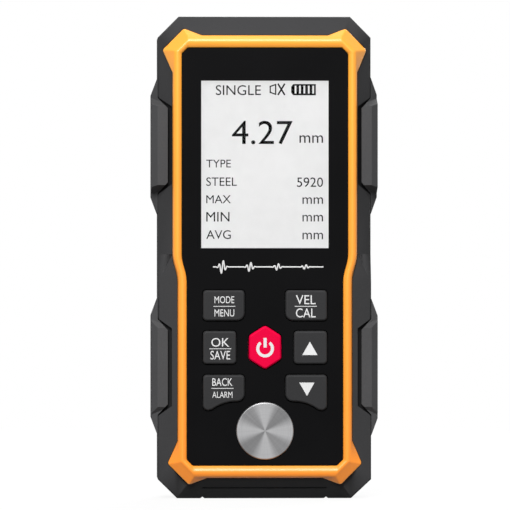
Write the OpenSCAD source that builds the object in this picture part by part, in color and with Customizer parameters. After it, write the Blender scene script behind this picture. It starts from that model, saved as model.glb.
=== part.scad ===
// Handheld ultrasonic thickness gauge, standing on its bottom end.
// X runs to the right, Y to the back and Z up; the front face looks along -Y.
// The origin lies on the surface it stands on, under the middle of the instrument.

/* [Body] */
// Overall length, from the bottom end to the top end
body_length = 130; // [126:0.5:142]
// Width of the sloping shoulder on each side of the frame, beside the display
shoulder_w = 4.1; // [3.8:0.1:6]
// Overall depth, from the crown of the front frame to the back
body_depth = 30; // [29.5:0.25:34]
// Corner chamfer of the top end, seen from the front
top_chamfer = 5.6; // [5:0.1:6.5]
// Corner chamfer of the bottom end, seen from the front
bottom_chamfer = 5.2; // [4:0.1:5.6]
// Bevel of the shells' edges along the line where they meet
parting_bevel = 0.3; // [0.2:0.05:0.4]
// Wall of the front and rear shells
wall = 2.2; // [1.8:0.1:2.6]
// Depth of the shoulder line at the top end, behind the frame's crown
top_drop = 6; // [5:0.1:7]
// Depth of the shoulder line at the bottom end
bottom_drop = 8; // [6:0.1:9]
// Depth of the shoulder line along the upper half of the sides
upper_drop = 7; // [6:0.1:8]
// Depth of the shoulder line along the lower half of the sides
lower_drop = 4; // [3.5:0.1:5]
// Inset of the back face from the outline
back_inset = 3.2; // [2:0.1:4]
// Depth of the bevel round the back face
back_bevel = 4; // [3:0.1:4.5]
// Height of the seam line across the bottom facet
seam_z = 2.9; // [2:0.1:3.6]
// Distance of each foot notch from the middle
foot_notch_x = 16.7; // [15:0.1:18]

/* [Front frame] */
// Outer width of the frame beside the display
frame_upper_w = 49.3; // [48.8:0.1:50.5]
// Outer width of the frame beside the keys
frame_lower_w = 46.6; // [46:0.1:48]
// Distance of the frame's outer edge from the top end
frame_top = 5.4; // [5:0.1:6.5]
// Distance of the frame's outer edge from the bottom end
frame_bottom = 5.9; // [5:0.1:6.5]
// Width of the frame's side bars
side_bar = 2.25; // [1.8:0.05:2.6]
// Width of the frame's end bars
end_bar = 3.1; // [2.4:0.1:3.4]
// Chamfer of the frame's inner corners
inner_chamfer = 1.65; // [1:0.05:2.4]
// Height of the frame's crown over the face panel
frame_proud = 1; // [0.6:0.1:1.2]
// Height of the waist, where the frame steps in below the display
waist_z = 62.2; // [61:0.1:63]
// Length of the step at the waist
waist_run = 7.4; // [5:0.2:8]
// Reach of a corner claw past the side bar
claw_out = 2.85; // [2:0.05:3.1]
// Reach of a corner claw past the end bar
claw_up = 2.05; // [1.6:0.05:2.6]
// Length of a claw along the end bar
claw_end_run = 7.7; // [6:0.1:9]
// Length of a claw along the side bar
claw_side_run = 9.8; // [8:0.1:11]
// Radius of a claw's two rounded corners
claw_round = 0.8; // [0.5:0.1:1.1]

/* [Face] */
// Thickness of the face panel
panel_t = 1.2; // [1:0.1:1.5]
// Thickness of the deck under the panel
deck_t = 1.4; // [1.2:0.1:1.6]
// Width of the panel on each side of the display window
window_side = 5.25; // [4.9:0.05:6.4]
// Height of the panel between the display window and the keys
window_gap = 11.3; // [10.4:0.1:13]
// Distance of the window's top edge from the top end
window_top = 17.4; // [16.8:0.1:19]
// Radius of the calibration disc
disc_r = 7.75; // [6.5:0.05:8]
// Thickness of the calibration disc
disc_t = 4; // [3:0.1:4.4]
// Height of the disc's centre above the bottom end
disc_z = 18.4; // [18:0.1:18.8]
// How far the disc stands proud of the panel
disc_proud = 0.6; // [0.3:0.1:0.9]

/* [Keys] */
// Width across the two columns of keys
key_field_w = 33.4; // [32.4:0.1:34.4]
// Width of the four wide keys
wide_key_w = 11.2; // [10.4:0.1:11.6]
// Width of the two square keys
square_key_w = 8.95; // [8:0.05:9.4]
// Height of the keys in the top row
top_key_h = 8.2; // [7.4:0.1:8.6]
// Height of the keys in the middle row
middle_key_h = 8.9; // [8:0.1:9.2]
// Height of the keys in the bottom row at their outer edge
bottom_key_h = 9.6; // [9.2:0.1:10]
// Height of the top row's centre above the bottom end
top_row_z = 52.15; // [51.9:0.05:52.6]
// Height of the middle row's centre
middle_row_z = 40.85; // [40.4:0.05:41.2]
// Height of the upper edge of the bottom row
bottom_row_top = 33.5; // [33.2:0.1:33.8]
// Radius of the hollow in the lower edge of a bottom key
hollow_r = 11; // [10:0.1:13]
// Width of the power key
power_w = 8.65; // [7.6:0.05:9.2]
// Height of the power key
power_h = 11.9; // [10.6:0.1:12.4]
// How far the keys stand proud of the panel
key_proud = 0.9; // [0.6:0.1:1.3]
// Travel of a key
key_travel = 0.7; // [0.4:0.1:0.9]

/* [Side grips] */
// How far the grips stand out from the sides
grip_out = 1.8; // [1.2:0.1:2.2]
// Length of a grip at its foot
grip_length = 36.9; // [34:0.1:38]
// Length of the ramp at each end of a grip
grip_ramp = 4.6; // [3.6:0.1:5.4]
// Distance of the upper grips' centre from the top end
upper_grip_drop = 34.8; // [34:0.1:35.4]
// Height of the lower grips' centre
lower_grip_z = 35.5; // [35:0.1:36]
// Length of a grip's front face along its inner edge
grip_face_length = 20; // [17:0.5:21]
// Width of a grip's front face
grip_face_w = 2.7; // [2.2:0.1:2.9]
// Width of the groove along a grip's inner edge
groove_w = 1.1; // [0.8:0.1:1.2]

/* [Batteries] */
// Diameter of a cell
cell_d = 10.4; // [10:0.1:10.5]
// Length of a cell's case, without its nub
cell_length = 43.3; // [42:0.1:43.5]
// Thickness of the battery door
door_t = 1.8; // [1.5:0.1:2]
// Radius of the rounded lower edge that the door turns on
door_bead_r = 2.4; // [2.2:0.1:2.5]
// Radius of the door's two pivot pins
door_pin_r = 1.1; // [0.8:0.1:1.3]
// Height of the door's hinge line above the bottom end
hinge_z = 8; // [7.6:0.1:8.4]

/* [Probe sockets] */
// Distance between the centres of the two sockets
socket_pitch = 16; // [13:0.5:20]
// Radius of a socket's bore
socket_bore_r = 2.3; // [2:0.1:2.5]
// Depth of a socket's bore
socket_bore_depth = 7; // [5:0.5:8]
// Radius of a socket's threaded barrel
socket_barrel_r = 3.2; // [3:0.1:3.5]

/* [Hidden] */
$fn = 48;

housing_grey = "#3b3b3d";
frame_amber = "#ffb02e";
panel_black = "#161616";
key_grey = "#3a3a3a";
power_red = "#ee0a46";
steel = "#b4b4b4";
gold = "#c9a24a";
board_green = "#1f5a3a";

// Clearances
fit_gap = 0.1;
key_gap = 0.25;
door_gap = 0.3;
pin_gap = 0.05;
beyond = 5;

// Depth levels, from the front to the back
front_y = -body_depth / 2;
back_y = body_depth / 2;
split_y = 0;
facet_drop = 1.4;
facet_y = front_y + facet_drop;
panel_y = front_y + frame_proud;
deck_y = panel_y + panel_t;
deck_back_y = deck_y + deck_t;
seat_depth = 0.6;
frame_seat_y = deck_y + seat_depth;
flange_t = 0.7;
flange_y = deck_back_y + 2 * fit_gap;
plunger_h = 1;
plunger_y = flange_y + flange_t + plunger_h;
dome_h = 0.9;
board_y = plunger_y + key_travel + fit_gap + dome_h;
board_t = 1.6;
board_back_y = board_y + board_t;

// Housing outlines, right half from the top down
upper_x = frame_upper_w / 2;
neck_x = upper_x + shoulder_w;
lower_x = frame_lower_w / 2;
top_z = body_length - frame_top;
bottom_z = frame_bottom;
waist_hi = waist_z + waist_run / 2;
waist_lo = waist_z - waist_run / 2;
corner_cut = 4;
housing_ring = mirrored([
    [neck_x - top_chamfer, body_length], [neck_x, body_length - top_chamfer],
    [neck_x, waist_hi], [neck_x, waist_lo],
    [neck_x, bottom_chamfer], [neck_x - bottom_chamfer, 0]
]);
facet_ring = mirrored([
    [upper_x - corner_cut, top_z], [upper_x, top_z - corner_cut],
    [upper_x, waist_hi], [lower_x, waist_lo],
    [lower_x, bottom_z + corner_cut], [lower_x - corner_cut, bottom_z]
]);
shoulder_depths = front_y * [for (i = [0 : 11]) 1]
    + both([top_drop, upper_drop, upper_drop, lower_drop, lower_drop, bottom_drop]);
facet_wall = 2.5;
cavity_drop = 1.6;
cavity_rise = 0.8;

// Frame outlines, right half from the top down
waist_steps = 6;
claw_back = 2.85;
claw_side = claw_out + claw_back - claw_up;
rim_flare = 0.2;
inner_upper_x = upper_x - side_bar;
inner_lower_x = lower_x - side_bar;
inner_top_z = top_z - end_bar;
inner_bottom_z = bottom_z + end_bar;
claw_steps = 3;
frame_inner = mirrored(concat(
    soft_claw([[upper_x - claw_end_run, inner_top_z], [inner_upper_x - inner_chamfer, inner_top_z],
        [inner_upper_x, inner_top_z - inner_chamfer], [inner_upper_x, top_z - claw_side_run]]),
    waist_curve(inner_upper_x, inner_lower_x),
    soft_claw([[inner_lower_x, bottom_z + claw_side_run], [inner_lower_x, inner_bottom_z + inner_chamfer],
        [inner_lower_x - inner_chamfer, inner_bottom_z], [lower_x - claw_end_run, inner_bottom_z]])));
frame_ridge = mirrored(concat(
    soft_claw([[upper_x - claw_end_run, top_z], [upper_x - corner_cut, top_z],
        [upper_x, top_z - corner_cut], [upper_x, top_z - claw_side_run]]),
    waist_curve(upper_x, lower_x),
    soft_claw([[lower_x, bottom_z + claw_side_run], [lower_x, bottom_z + corner_cut],
        [lower_x - corner_cut, bottom_z], [lower_x - claw_end_run, bottom_z]])));
frame_outer = mirrored(concat(
    soft_claw([[upper_x - claw_end_run, top_z + rim_flare], [upper_x - claw_back, top_z + claw_up],
        [upper_x + claw_out, top_z - claw_side], [upper_x + rim_flare, top_z - claw_side_run]]),
    waist_curve(upper_x + rim_flare, lower_x + rim_flare),
    soft_claw([[lower_x + rim_flare, bottom_z + claw_side_run], [lower_x + claw_out, bottom_z + claw_side],
        [lower_x - claw_back, bottom_z - claw_up], [lower_x - claw_end_run, bottom_z - rim_flare]])));
frame_lip = 0.25;
frame_edge_y = panel_y - frame_lip;
rim_sink = 0.3;
rim_y = facet_y + rim_sink;
claw_end_drop = 2.6;
claw_side_drop = 4.3;
low_claw_drop = 2.4;
rim_depths = both(concat(claw_depths(claw_end_drop, claw_side_drop),
    [for (i = [0 : waist_steps]) rim_y], claw_depths(low_claw_drop, low_claw_drop)));
claw_t = 1.5;
crown_steps = 6;
foot_depths = [for (y = rim_depths) y == rim_y ? frame_seat_y : y + claw_t];

// Display
window_top_z = body_length - window_top;
window_bottom_z = top_row_z + top_key_h / 2 + window_gap;
window_x = inner_upper_x - window_side;
glass_margin = 1.9;
glass_ledge = 3.2;
window_lip = 0.8;
window_lip_t = 0.35;
glass_y = deck_y + window_lip_t + 1.5 * fit_gap;
glass_t = 1.8;
glass_gap = 0.4;
backlight_rim = 1.1;
glass_ring = box_ring(window_x + glass_margin,
    window_bottom_z - glass_ledge, window_top_z + glass_margin);
window_ring = box_ring(window_x, window_bottom_z, window_top_z);

// Key outlines, left column, clockwise as seen from the front
key_outer_x = -key_field_w / 2;
wide_inner_x = key_outer_x + wide_key_w;
corner_r = 1;
soft_corner_r = 2;
hollow_corner_r = 1.4;
bottom_row_bottom = bottom_row_top - bottom_key_h;
hollow_in = 2.2;
hollow_rise = 2.4;
hollow_x = wide_inner_x - hollow_in;
hollow_z = bottom_row_bottom + hollow_rise - hollow_r;
hollow_from = 92;
hollow_to = 127;
hollow_steps = 8;
top_key_ring = rounded([
    [key_outer_x, top_row_z + top_key_h / 2, corner_r],
    [wide_inner_x, top_row_z + top_key_h / 2, corner_r],
    [wide_inner_x, top_row_z - top_key_h / 2, soft_corner_r],
    [key_outer_x, top_row_z - top_key_h / 2, corner_r]]);
middle_key_ring = rounded([
    [key_outer_x, middle_row_z + middle_key_h / 2, corner_r],
    [key_outer_x + square_key_w, middle_row_z + middle_key_h / 2, corner_r],
    [key_outer_x + square_key_w, middle_row_z - middle_key_h / 2, corner_r],
    [key_outer_x, middle_row_z - middle_key_h / 2, corner_r]]);
bottom_key_ring = concat(
    corner([key_outer_x, bottom_row_bottom], [key_outer_x, bottom_row_top],
        [wide_inner_x, bottom_row_top], corner_r),
    corner([key_outer_x, bottom_row_top], [wide_inner_x, bottom_row_top],
        [wide_inner_x, hollow_z], corner_r),
    corner([wide_inner_x, bottom_row_top], [wide_inner_x, hollow_z + hollow_r],
        [hollow_x, hollow_z + hollow_r], soft_corner_r),
    [for (i = [0 : hollow_steps]) let (a = hollow_from + (hollow_to - hollow_from) * i / hollow_steps)
        [hollow_x, hollow_z] + hollow_r * [cos(a), sin(a)]],
    corner([hollow_x, bottom_row_bottom], [key_outer_x, bottom_row_bottom],
        [key_outer_x, bottom_row_top], hollow_corner_r));
power_side = 3.2;
power_corner_r = 1.2;
power_ring = rounded([
    [0, middle_row_z + power_h / 2, power_corner_r],
    [power_w / 2, middle_row_z + power_side, power_corner_r],
    [power_w / 2, middle_row_z - power_side, power_corner_r],
    [0, middle_row_z - power_h / 2, power_corner_r],
    [-power_w / 2, middle_row_z - power_side, power_corner_r],
    [-power_w / 2, middle_row_z + power_side, power_corner_r]]);
wide_mid_x = key_outer_x + wide_key_w / 2;
bottom_share = 0.42;
top_centre = [wide_mid_x, top_row_z];
middle_centre = [key_outer_x + square_key_w / 2, middle_row_z];
bottom_centre = [wide_mid_x, bottom_row_top - bottom_key_h * bottom_share];
power_centre = [0, middle_row_z];
key_rings = [power_ring, top_key_ring, flip(top_key_ring), middle_key_ring, flip(middle_key_ring),
    bottom_key_ring, flip(bottom_key_ring)];
key_centres = [power_centre, top_centre, across(top_centre), middle_centre, across(middle_centre),
    bottom_centre, across(bottom_centre)];
key_bevel = 0.4;
flange_out = 0.8;
plunger_r = 1.8;
dome_r = 3;
dome_top_r = 1.6;
mat_t = 0.8;
mat_margin = 1.4;
mat_gap = 0.4;

// Side grips
upper_grip_z = body_length - upper_grip_drop;
grip_face_drop = 2.7;
grip_face_y = front_y + grip_face_drop;
grip_edge = 1.7;
grip_back_y = 8.6;
grip_in = 2.65;
grip_inner_x = neck_x - grip_in;
grip_seat = 1.2;
grip_slope = 1.07;
grip_lip = 0.2;
grip_end_run = 2.2;
groove_end = 0.4;
// A groove narrows toward the side, down to a fine gap
groove_slope = (grip_in * grip_slope + 3 * fit_gap - groove_w * groove_end) / (grip_in + groove_w);

// Fasteners
screw_in = 6.15;
screw_drop = 12.5;
screw_rise = 9;
screw_upper = [neck_x - screw_in, body_length - screw_drop];
screw_lower = [neck_x - screw_in, screw_rise];
screw_places = [for (x = [-1, 1], p = [screw_upper, screw_lower]) [x * p[0], p[1]]];
screw_r = 1.25;
screw_gap = 0.25;
screw_head_r = 2.5;
screw_head_t = 1.8;
screw_head_y = 5;
screw_slot = [3, 2, 0.7];
screw_end_y = front_y + 7;
pilot_end = 1;
boss_r = 3;
boss_front_y = front_y + 4.4;
rear_boss_r = boss_r + 0.6;
post_drop = 10.5;
post_rise = 10.8;
post_upper_x = 12;
post_lower_x = 14.5;
post_upper = [post_upper_x, body_length - post_drop];
post_lower = [post_lower_x, post_rise];
post_places = [for (x = [-1, 1], p = [post_upper, post_lower]) [x * p[0], p[1]]];
post_r = 2;
post_screw_r = 0.8;
post_head_r = 1.6;
post_head_t = 1;
post_screw_y = board_y - 2.2;
gasket_in = 0.65;
gasket_w = 0.9;
gasket_t = 1;

// Electronics
board_in = 7.45;
board_x = neck_x - board_in;
board_low_z = 6.8;
board_drop = 8.5;
board_high_z = body_length - board_drop;
board_relief = 0.5;
board_hole_gap = 0.3;
chips = [
    [[-6, board_high_z - 43.5], [6, board_high_z - 31.5], 1.4],
    [[10, board_high_z - 49.5], [17, board_high_z - 44.5], 1.2],
    [[-17, board_high_z - 53.5], [-9, board_high_z - 49.5], 3],
    [[8, board_high_z - 27.5], [14, board_high_z - 24.5], 2.2]
];
buzzer_drop = 24;
buzzer_place = [0, body_length - buzzer_drop];
buzzer_r = 6;
buzzer_t = 3.6;
buzzer_hole_r = 1;
buzzer_hole_depth = 1.6;
disc_y = panel_y - disc_proud;
disc_back_y = disc_y + disc_t;
disc_edge = 0.3;
disc_boss_w = 1.5;
disc_boss_t = 1.2;

// Battery bay and door
door_in_y = back_y - door_t;
hinge_y = back_y - door_bead_r;
cell_r = cell_d / 2;
cell_edge = 0.4;
cell_pitch = cell_d + 0.6;
cell_gap = 0.15;
cell_end_gap = 0.2;
bay_x = 1.5 * cell_pitch + cell_end_gap;
bay_wall = 1.4;
bay_base_t = 1.2;
bay_floor_y = door_in_y - 0.4 - cell_d - cell_gap;
cell_y = bay_floor_y + cell_gap + cell_r;
back_skin = 0.3;
nub_h = 1.2;
nub_r = 1.9;
contact_t = 0.4;
spring_h = 3.2;
bay_low_z = hinge_z + door_bead_r + door_gap + bay_wall;
bay_high_z = bay_low_z + 2 * contact_t + spring_h + cell_length + nub_h + cell_end_gap;
door_lap = 1;
door_x = bay_x + door_lap;
door_top_z = bay_high_z + 1.2;
door_corner = 3;
door_ring = mirrored([
    [door_x - door_corner, door_top_z], [door_x, door_top_z - door_corner], [door_x, hinge_z]]);
door_bed = 0.05;
pin_length = 1.7;
pin_end_gap = 0.2;
hinge_boss_w = 1.2;
hinge_boss_x = door_x + pin_length + hinge_boss_w + pin_end_gap;
tongue_x = 5;
tongue_h = 9;
tongue_slot = 0.8;
nib_x = tongue_x - 1;
nib_h = 1.2;
nib_reach = 0.9;
ridge_x = 3.6;
ridge_w = 0.7;
ridge_pitch = 1.4;
ridge_depth = 0.4;
ridge_count = 5;
ridge_top_z = door_top_z - 1.5;
scoop_r = 12;
scoop_y = back_y + 10.6;

// Bare recess in the upper back
recess_in = 11.75;
recess_foot = 12;
recess_drop = 17;
recess_x = neck_x - recess_in;
recess_low_z = door_top_z + recess_foot;
recess_high_z = body_length - recess_drop;
recess_r = 2;
recess_depth = 0.4;
recess_ring = rounded([[-recess_x, recess_high_z, recess_r], [recess_x, recess_high_z, recess_r],
    [recess_x, recess_low_z, recess_r], [-recess_x, recess_low_z, recess_r]]);

// Probe sockets
socket_y = 5.5;
socket_xs = [-socket_pitch / 2, socket_pitch / 2];
flange_r = socket_barrel_r + 1.2;
socket_flange_t = 1.1;
socket_top_z = body_length - 0.2;
socket_seat_z = socket_top_z - socket_flange_t;
socket_wall = 4;
socket_block_z = socket_seat_z - socket_wall;
socket_margin = 1;
socket_gap = 0.2;
socket_block_y = 0.8;
nut_t = 2;
insulator_r = 1.6;
pin_r = 0.5;
press_gap = 0.02;
bore_end_z = socket_top_z - socket_bore_depth;
insulator_t = 4;
barrel_end_z = bore_end_z - insulator_t;
contact_tail = 2;
contact_end_z = barrel_end_z - contact_tail;
contact_sink = 0.2;
lead_r = 0.8;
lead_bend = 5;
lead_drop = 1;

// Contacts
contact_x = 4.4;
contact_front = 4.4;
contact_back = 4.2;
contact_overlap = 0.1;
coil_turns = 3.5;
coil_steps = 12;
coil_wire = 0.35;
coil_sides = 8;
coil_base_r = 3.4;
coil_top_r = 2;

// Foot
notch_half = 0.7;
notch_h = 0.45;
seam_half = 0.2;
seam_depth = 0.5;

// Mirrors a right half, listed from the top down, into a closed clockwise ring
function mirrored(half) = concat(half, flip(half));

// Mirrors a ring across the middle and keeps it clockwise
function flip(ring) = [for (i = [len(ring) - 1 : -1 : 0]) across(ring[i])];

// Mirrors one point across the middle
function across(p) = [-p[0], p[1]];

// Repeats a right half's depths for the mirrored ring
function both(half) = concat(half, [for (i = [len(half) - 1 : -1 : 0]) half[i]]);

// Rectangle symmetric about the middle, clockwise
function box_ring(x, low, high) = [[x, high], [x, low], [-x, low], [-x, high]];

// Smooth step of the frame at the waist, from one half width to the other
function waist_curve(x_hi, x_lo) = [for (i = [0 : waist_steps]) let (t = i / waist_steps)
    [x_hi + (x_lo - x_hi) * (1 - cos(180 * t)) / 2, waist_hi + (waist_lo - waist_hi) * t]];

// Rounds the middle two of the four points of a claw
function soft_claw(p) = concat([p[0]], corner(p[0], p[1], p[2], claw_round, claw_steps),
    corner(p[1], p[2], p[3], claw_round, claw_steps), [p[3]]);

// Depths of a claw's points, from the drops of its two corners
function claw_depths(first, second) = concat([rim_y],
    [for (drop = [first, second], i = [0 : claw_steps]) front_y + drop], [rim_y]);

// Unit normal that points into a clockwise ring
function inward(p, q) = let (d = (q - p) / norm(q - p)) [d[1], -d[0]];

// Moves every side of a clockwise ring inwards by d
function inset(ring, d) = let (n = len(ring)) [for (i = [0 : n - 1])
    let (a = inward(ring[(i + n - 1) % n], ring[i]), b = inward(ring[i], ring[(i + 1) % n]))
    ring[i] + d * (a + b) / (1 + a * b)];

// Points of a rounded corner at p, between its neighbours a and b
function corner(a, p, b, r, steps = 5) =
    let (u = (a - p) / norm(a - p), v = (b - p) / norm(b - p), half = acos(u * v) / 2,
        c = p + (u + v) / norm(u + v) * r / sin(half),
        s = p + u * r / tan(half) - c, e = p + v * r / tan(half) - c,
        from = atan2(s[1], s[0]), turn = (atan2(e[1], e[0]) - from + 540) % 360 - 180)
    [for (i = [0 : steps]) c + r * [cos(from + turn * i / steps), sin(from + turn * i / steps)]];

// Ring of rounded corners from points [x, z, radius]
function rounded(points) = let (n = len(points)) [for (i = [0 : n - 1])
    let (a = points[(i + n - 1) % n], p = points[i], b = points[(i + 1) % n])
    each corner([a[0], a[1]], [p[0], p[1]], [b[0], b[1]], p[2])];

// Puts a flat ring at one depth, or at one depth per point
function at_depth(ring, y) = [for (i = [0 : len(ring) - 1])
    [ring[i][0], is_list(y) ? y[i] : y, ring[i][1]]];

// Two triangles per side of the strip between rings, split alike on the left and the right
function strip(n, k, next) = [for (i = [0 : n - 1], half = [0, 1])
    let (j = (i + 1) % n, a = k * n + i, b = k * n + j, c = next * n + j, d = next * n + i)
    i < n / 2 ? (half == 0 ? [a, d, c] : [a, c, b]) : (half == 0 ? [a, d, b] : [d, c, b])];

// Solid through mirrored rings, from the front one to the back one
module loft(rings) {
    n = len(rings[0]);
    last = (len(rings) - 1) * n;
    polyhedron(
        points = [for (ring = rings) each ring],
        faces = concat(
            [for (i = [0 : n / 2 - 2]) [i, i + 1, n - 2 - i, n - 1 - i]],
            [for (i = [0 : n / 2 - 2]) [last + n - 1 - i, last + n - 2 - i, last + i + 1, last + i]],
            [for (k = [0 : len(rings) - 2]) each strip(n, k, k + 1)]));
}

// Closed band whose section runs through the rings and back to the first
module band(rings) {
    m = len(rings);
    polyhedron(
        points = [for (ring = rings) each ring],
        faces = [for (k = [0 : m - 1]) each strip(len(rings[0]), k, (k + 1) % m)]);
}

// Plate with a flat outline between two depths
module plate(ring, y0, y1) {
    translate([0, y1, 0]) rotate([90, 0, 0]) linear_extrude(y1 - y0) polygon(ring);
}

// Round bar along Y at a place on the front
module peg(place, r, y0, y1) {
    translate([place[0], y1, place[1]]) rotate([90, 0, 0]) cylinder(h = y1 - y0, r = r);
}

// Block between two corners
module block(low, high) {
    translate(low) cube(high - low);
}

// Outer form of the front shell, solid
module front_solid() {
    loft([at_depth(facet_ring, facet_y), at_depth(housing_ring, shoulder_depths),
        at_depth(housing_ring, split_y - parting_bevel),
        at_depth(inset(housing_ring, parting_bevel), split_y)]);
}

// Space inside the front shell
module front_cavity() {
    inner = inset(housing_ring, wall);
    loft([at_depth(inset(facet_ring, facet_wall), deck_back_y),
        at_depth(inner, [for (y = shoulder_depths) y + cavity_drop]), at_depth(inner, split_y + beyond)]);
}

// Groove in the front shell that the frame and its claws sit in
module frame_seat() {
    hole = inset(frame_inner, fit_gap);
    rim = inset(frame_outer, -fit_gap);
    band([at_depth(hole, frame_seat_y + fit_gap), at_depth(hole, front_y - beyond),
        at_depth(rim, front_y - beyond), at_depth(rim, [for (y = foot_depths) y + fit_gap]),
        at_depth(inset(frame_ridge, -fit_gap), frame_seat_y + fit_gap)]);
}

// Depth of the shell's side facet at a distance from the middle
function side_facet_y(x, upper) =
    let (x0 = upper ? upper_x : lower_x, y1 = front_y + (upper ? upper_drop : lower_drop))
    facet_y + (x - x0) / (neck_x - x0) * (y1 - facet_y);

// Right-hand pocket and groove for a grip, cut from the front shell
module grip_pocket(centre_z, upper) {
    x0 = grip_inner_x - groove_w;
    x1 = neck_x + beyond;
    low = grip_face_length / 2 + groove_w * groove_end;
    high = low + (x1 - x0) * groove_slope;
    floor_0 = side_facet_y(x0, upper) + grip_seat + fit_gap;
    floor_1 = side_facet_y(x1, upper) + grip_seat + fit_gap;
    intersection() {
        plate([[x1, centre_z + high], [x1, centre_z - high], [x0, centre_z - low], [x0, centre_z + low]],
            front_y - beyond, split_y - wall / 2);
        translate([0, 0, centre_z - high]) linear_extrude(2 * high)
            polygon([[x0, front_y - beyond], [x1, front_y - beyond], [x1, floor_1], [x0, floor_0]]);
    }
}

// Right-hand grip: a section along the side, trimmed by its outline from the front
module grip(centre_z, upper) {
    x0 = grip_inner_x;
    side = neck_x + fit_gap / 2;
    far = neck_x + grip_out;
    face = grip_face_length / 2;
    seat = face + (side - x0) * grip_slope;
    foot = grip_length / 2;
    color(housing_grey) difference() {
        intersection() {
            translate([0, 0, centre_z - foot]) linear_extrude(2 * foot) polygon([
                [x0, grip_face_y], [x0 + grip_face_w, grip_face_y], [far, grip_face_y + grip_edge],
                [far, grip_back_y - grip_edge], [side + grip_lip, grip_back_y], [side, grip_back_y],
                [side, side_facet_y(side, upper) + grip_seat], [x0, side_facet_y(x0, upper) + grip_seat]]);
            translate([0, 0, centre_z]) plate([
                [x0, face], [side, seat], [side, foot], [far, foot - grip_ramp], [far, grip_ramp - foot],
                [side, -foot], [side, -seat], [x0, -face]], front_y, back_y);
        }
        for (m = [0, 1]) translate([0, 0, centre_z]) mirror([0, 0, m]) intersection() {
            linear_extrude(foot + beyond) polygon([[x0 - beyond, front_y], [far + beyond, front_y],
                [far + beyond, side_facet_y(far + beyond, upper)],
                [x0 - beyond, side_facet_y(x0 - beyond, upper)]]);
            translate([x0, 0, 0]) rotate([90, 0, 90]) linear_extrude(far + beyond - x0) polygon([
                [grip_face_y, seat - grip_end_run], [side_facet_y(far, upper), seat],
                [side_facet_y(far, upper), foot + beyond], [front_y, foot + beyond],
                [front_y, seat - grip_end_run]]);
        }
    }
}

module front_housing() {
    color(housing_grey) difference() {
        union() {
            difference() {
                front_solid();
                front_cavity();
            }
            for (p = screw_places) peg(p, boss_r, boss_front_y, split_y);
            for (p = post_places) peg(p, post_r, frame_seat_y, board_y);
            peg([0, disc_z], disc_r + disc_boss_w, frame_seat_y, disc_back_y + disc_boss_t);
        }
        frame_seat();
        plate(inset(frame_inner, -fit_gap), front_y - beyond, deck_y);
        plate(inset(glass_ring, -glass_gap), front_y, deck_back_y + beyond);
        for (ring = key_rings) plate(inset(ring, -key_gap), front_y, deck_back_y + beyond);
        peg([0, disc_z], disc_r + fit_gap / 2, front_y, disc_back_y);
        for (upper = [true, false], m = [0, 1]) mirror([m, 0, 0])
            grip_pocket(upper ? upper_grip_z : lower_grip_z, upper);
        for (p = screw_places) peg(p, screw_r + pin_gap, screw_end_y - pilot_end, split_y + beyond);
        for (p = post_places) peg(p, post_screw_r + pin_gap, post_screw_y - fit_gap, board_y + beyond);
        gasket_ring(fit_gap / 2);
        foot_notches();
        block([-foot_notch_x, front_y, seam_z - seam_half],
            [foot_notch_x, seam_bottom_y(), seam_z + seam_half]);
    }
}

// Depth to which the seam line is cut into the bottom facet
function seam_bottom_y() = seam_depth
    + facet_y + (bottom_z - seam_z) / bottom_z * (front_y + bottom_drop - facet_y);

// Two V notches across the bottom end
module foot_notches() {
    for (x = [-foot_notch_x, foot_notch_x])
        plate([[x, notch_h], [x + notch_half, -fit_gap], [x - notch_half, -fit_gap]],
            front_y - beyond, back_y + beyond);
}

// Seal between the shells, grown by a clearance to cut its groove
module gasket_ring(gap) {
    difference() {
        plate(inset(housing_ring, gasket_in - gap),
            split_y - gasket_t / 2 - gap, split_y + gasket_t / 2 + gap);
        plate(inset(housing_ring, gasket_in + gasket_w + gap), split_y - beyond, split_y + beyond);
    }
}

// Outer form of the rear shell, solid
module rear_solid() {
    loft([at_depth(inset(housing_ring, parting_bevel), split_y),
        at_depth(housing_ring, split_y + parting_bevel), at_depth(housing_ring, back_y - back_bevel),
        at_depth(inset(housing_ring, back_inset), back_y)]);
}

// Space inside the rear shell
module rear_cavity() {
    inner = inset(housing_ring, wall);
    loft([at_depth(inner, split_y - beyond), at_depth(inner, back_y - back_bevel - cavity_rise),
        at_depth(inset(housing_ring, wall + back_inset), back_y - wall)]);
}

// Bar along the door's hinge line
module hinge_bar(r, half) {
    translate([-half, hinge_y, hinge_z]) rotate([0, 90, 0]) cylinder(h = 2 * half, r = r);
}

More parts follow.
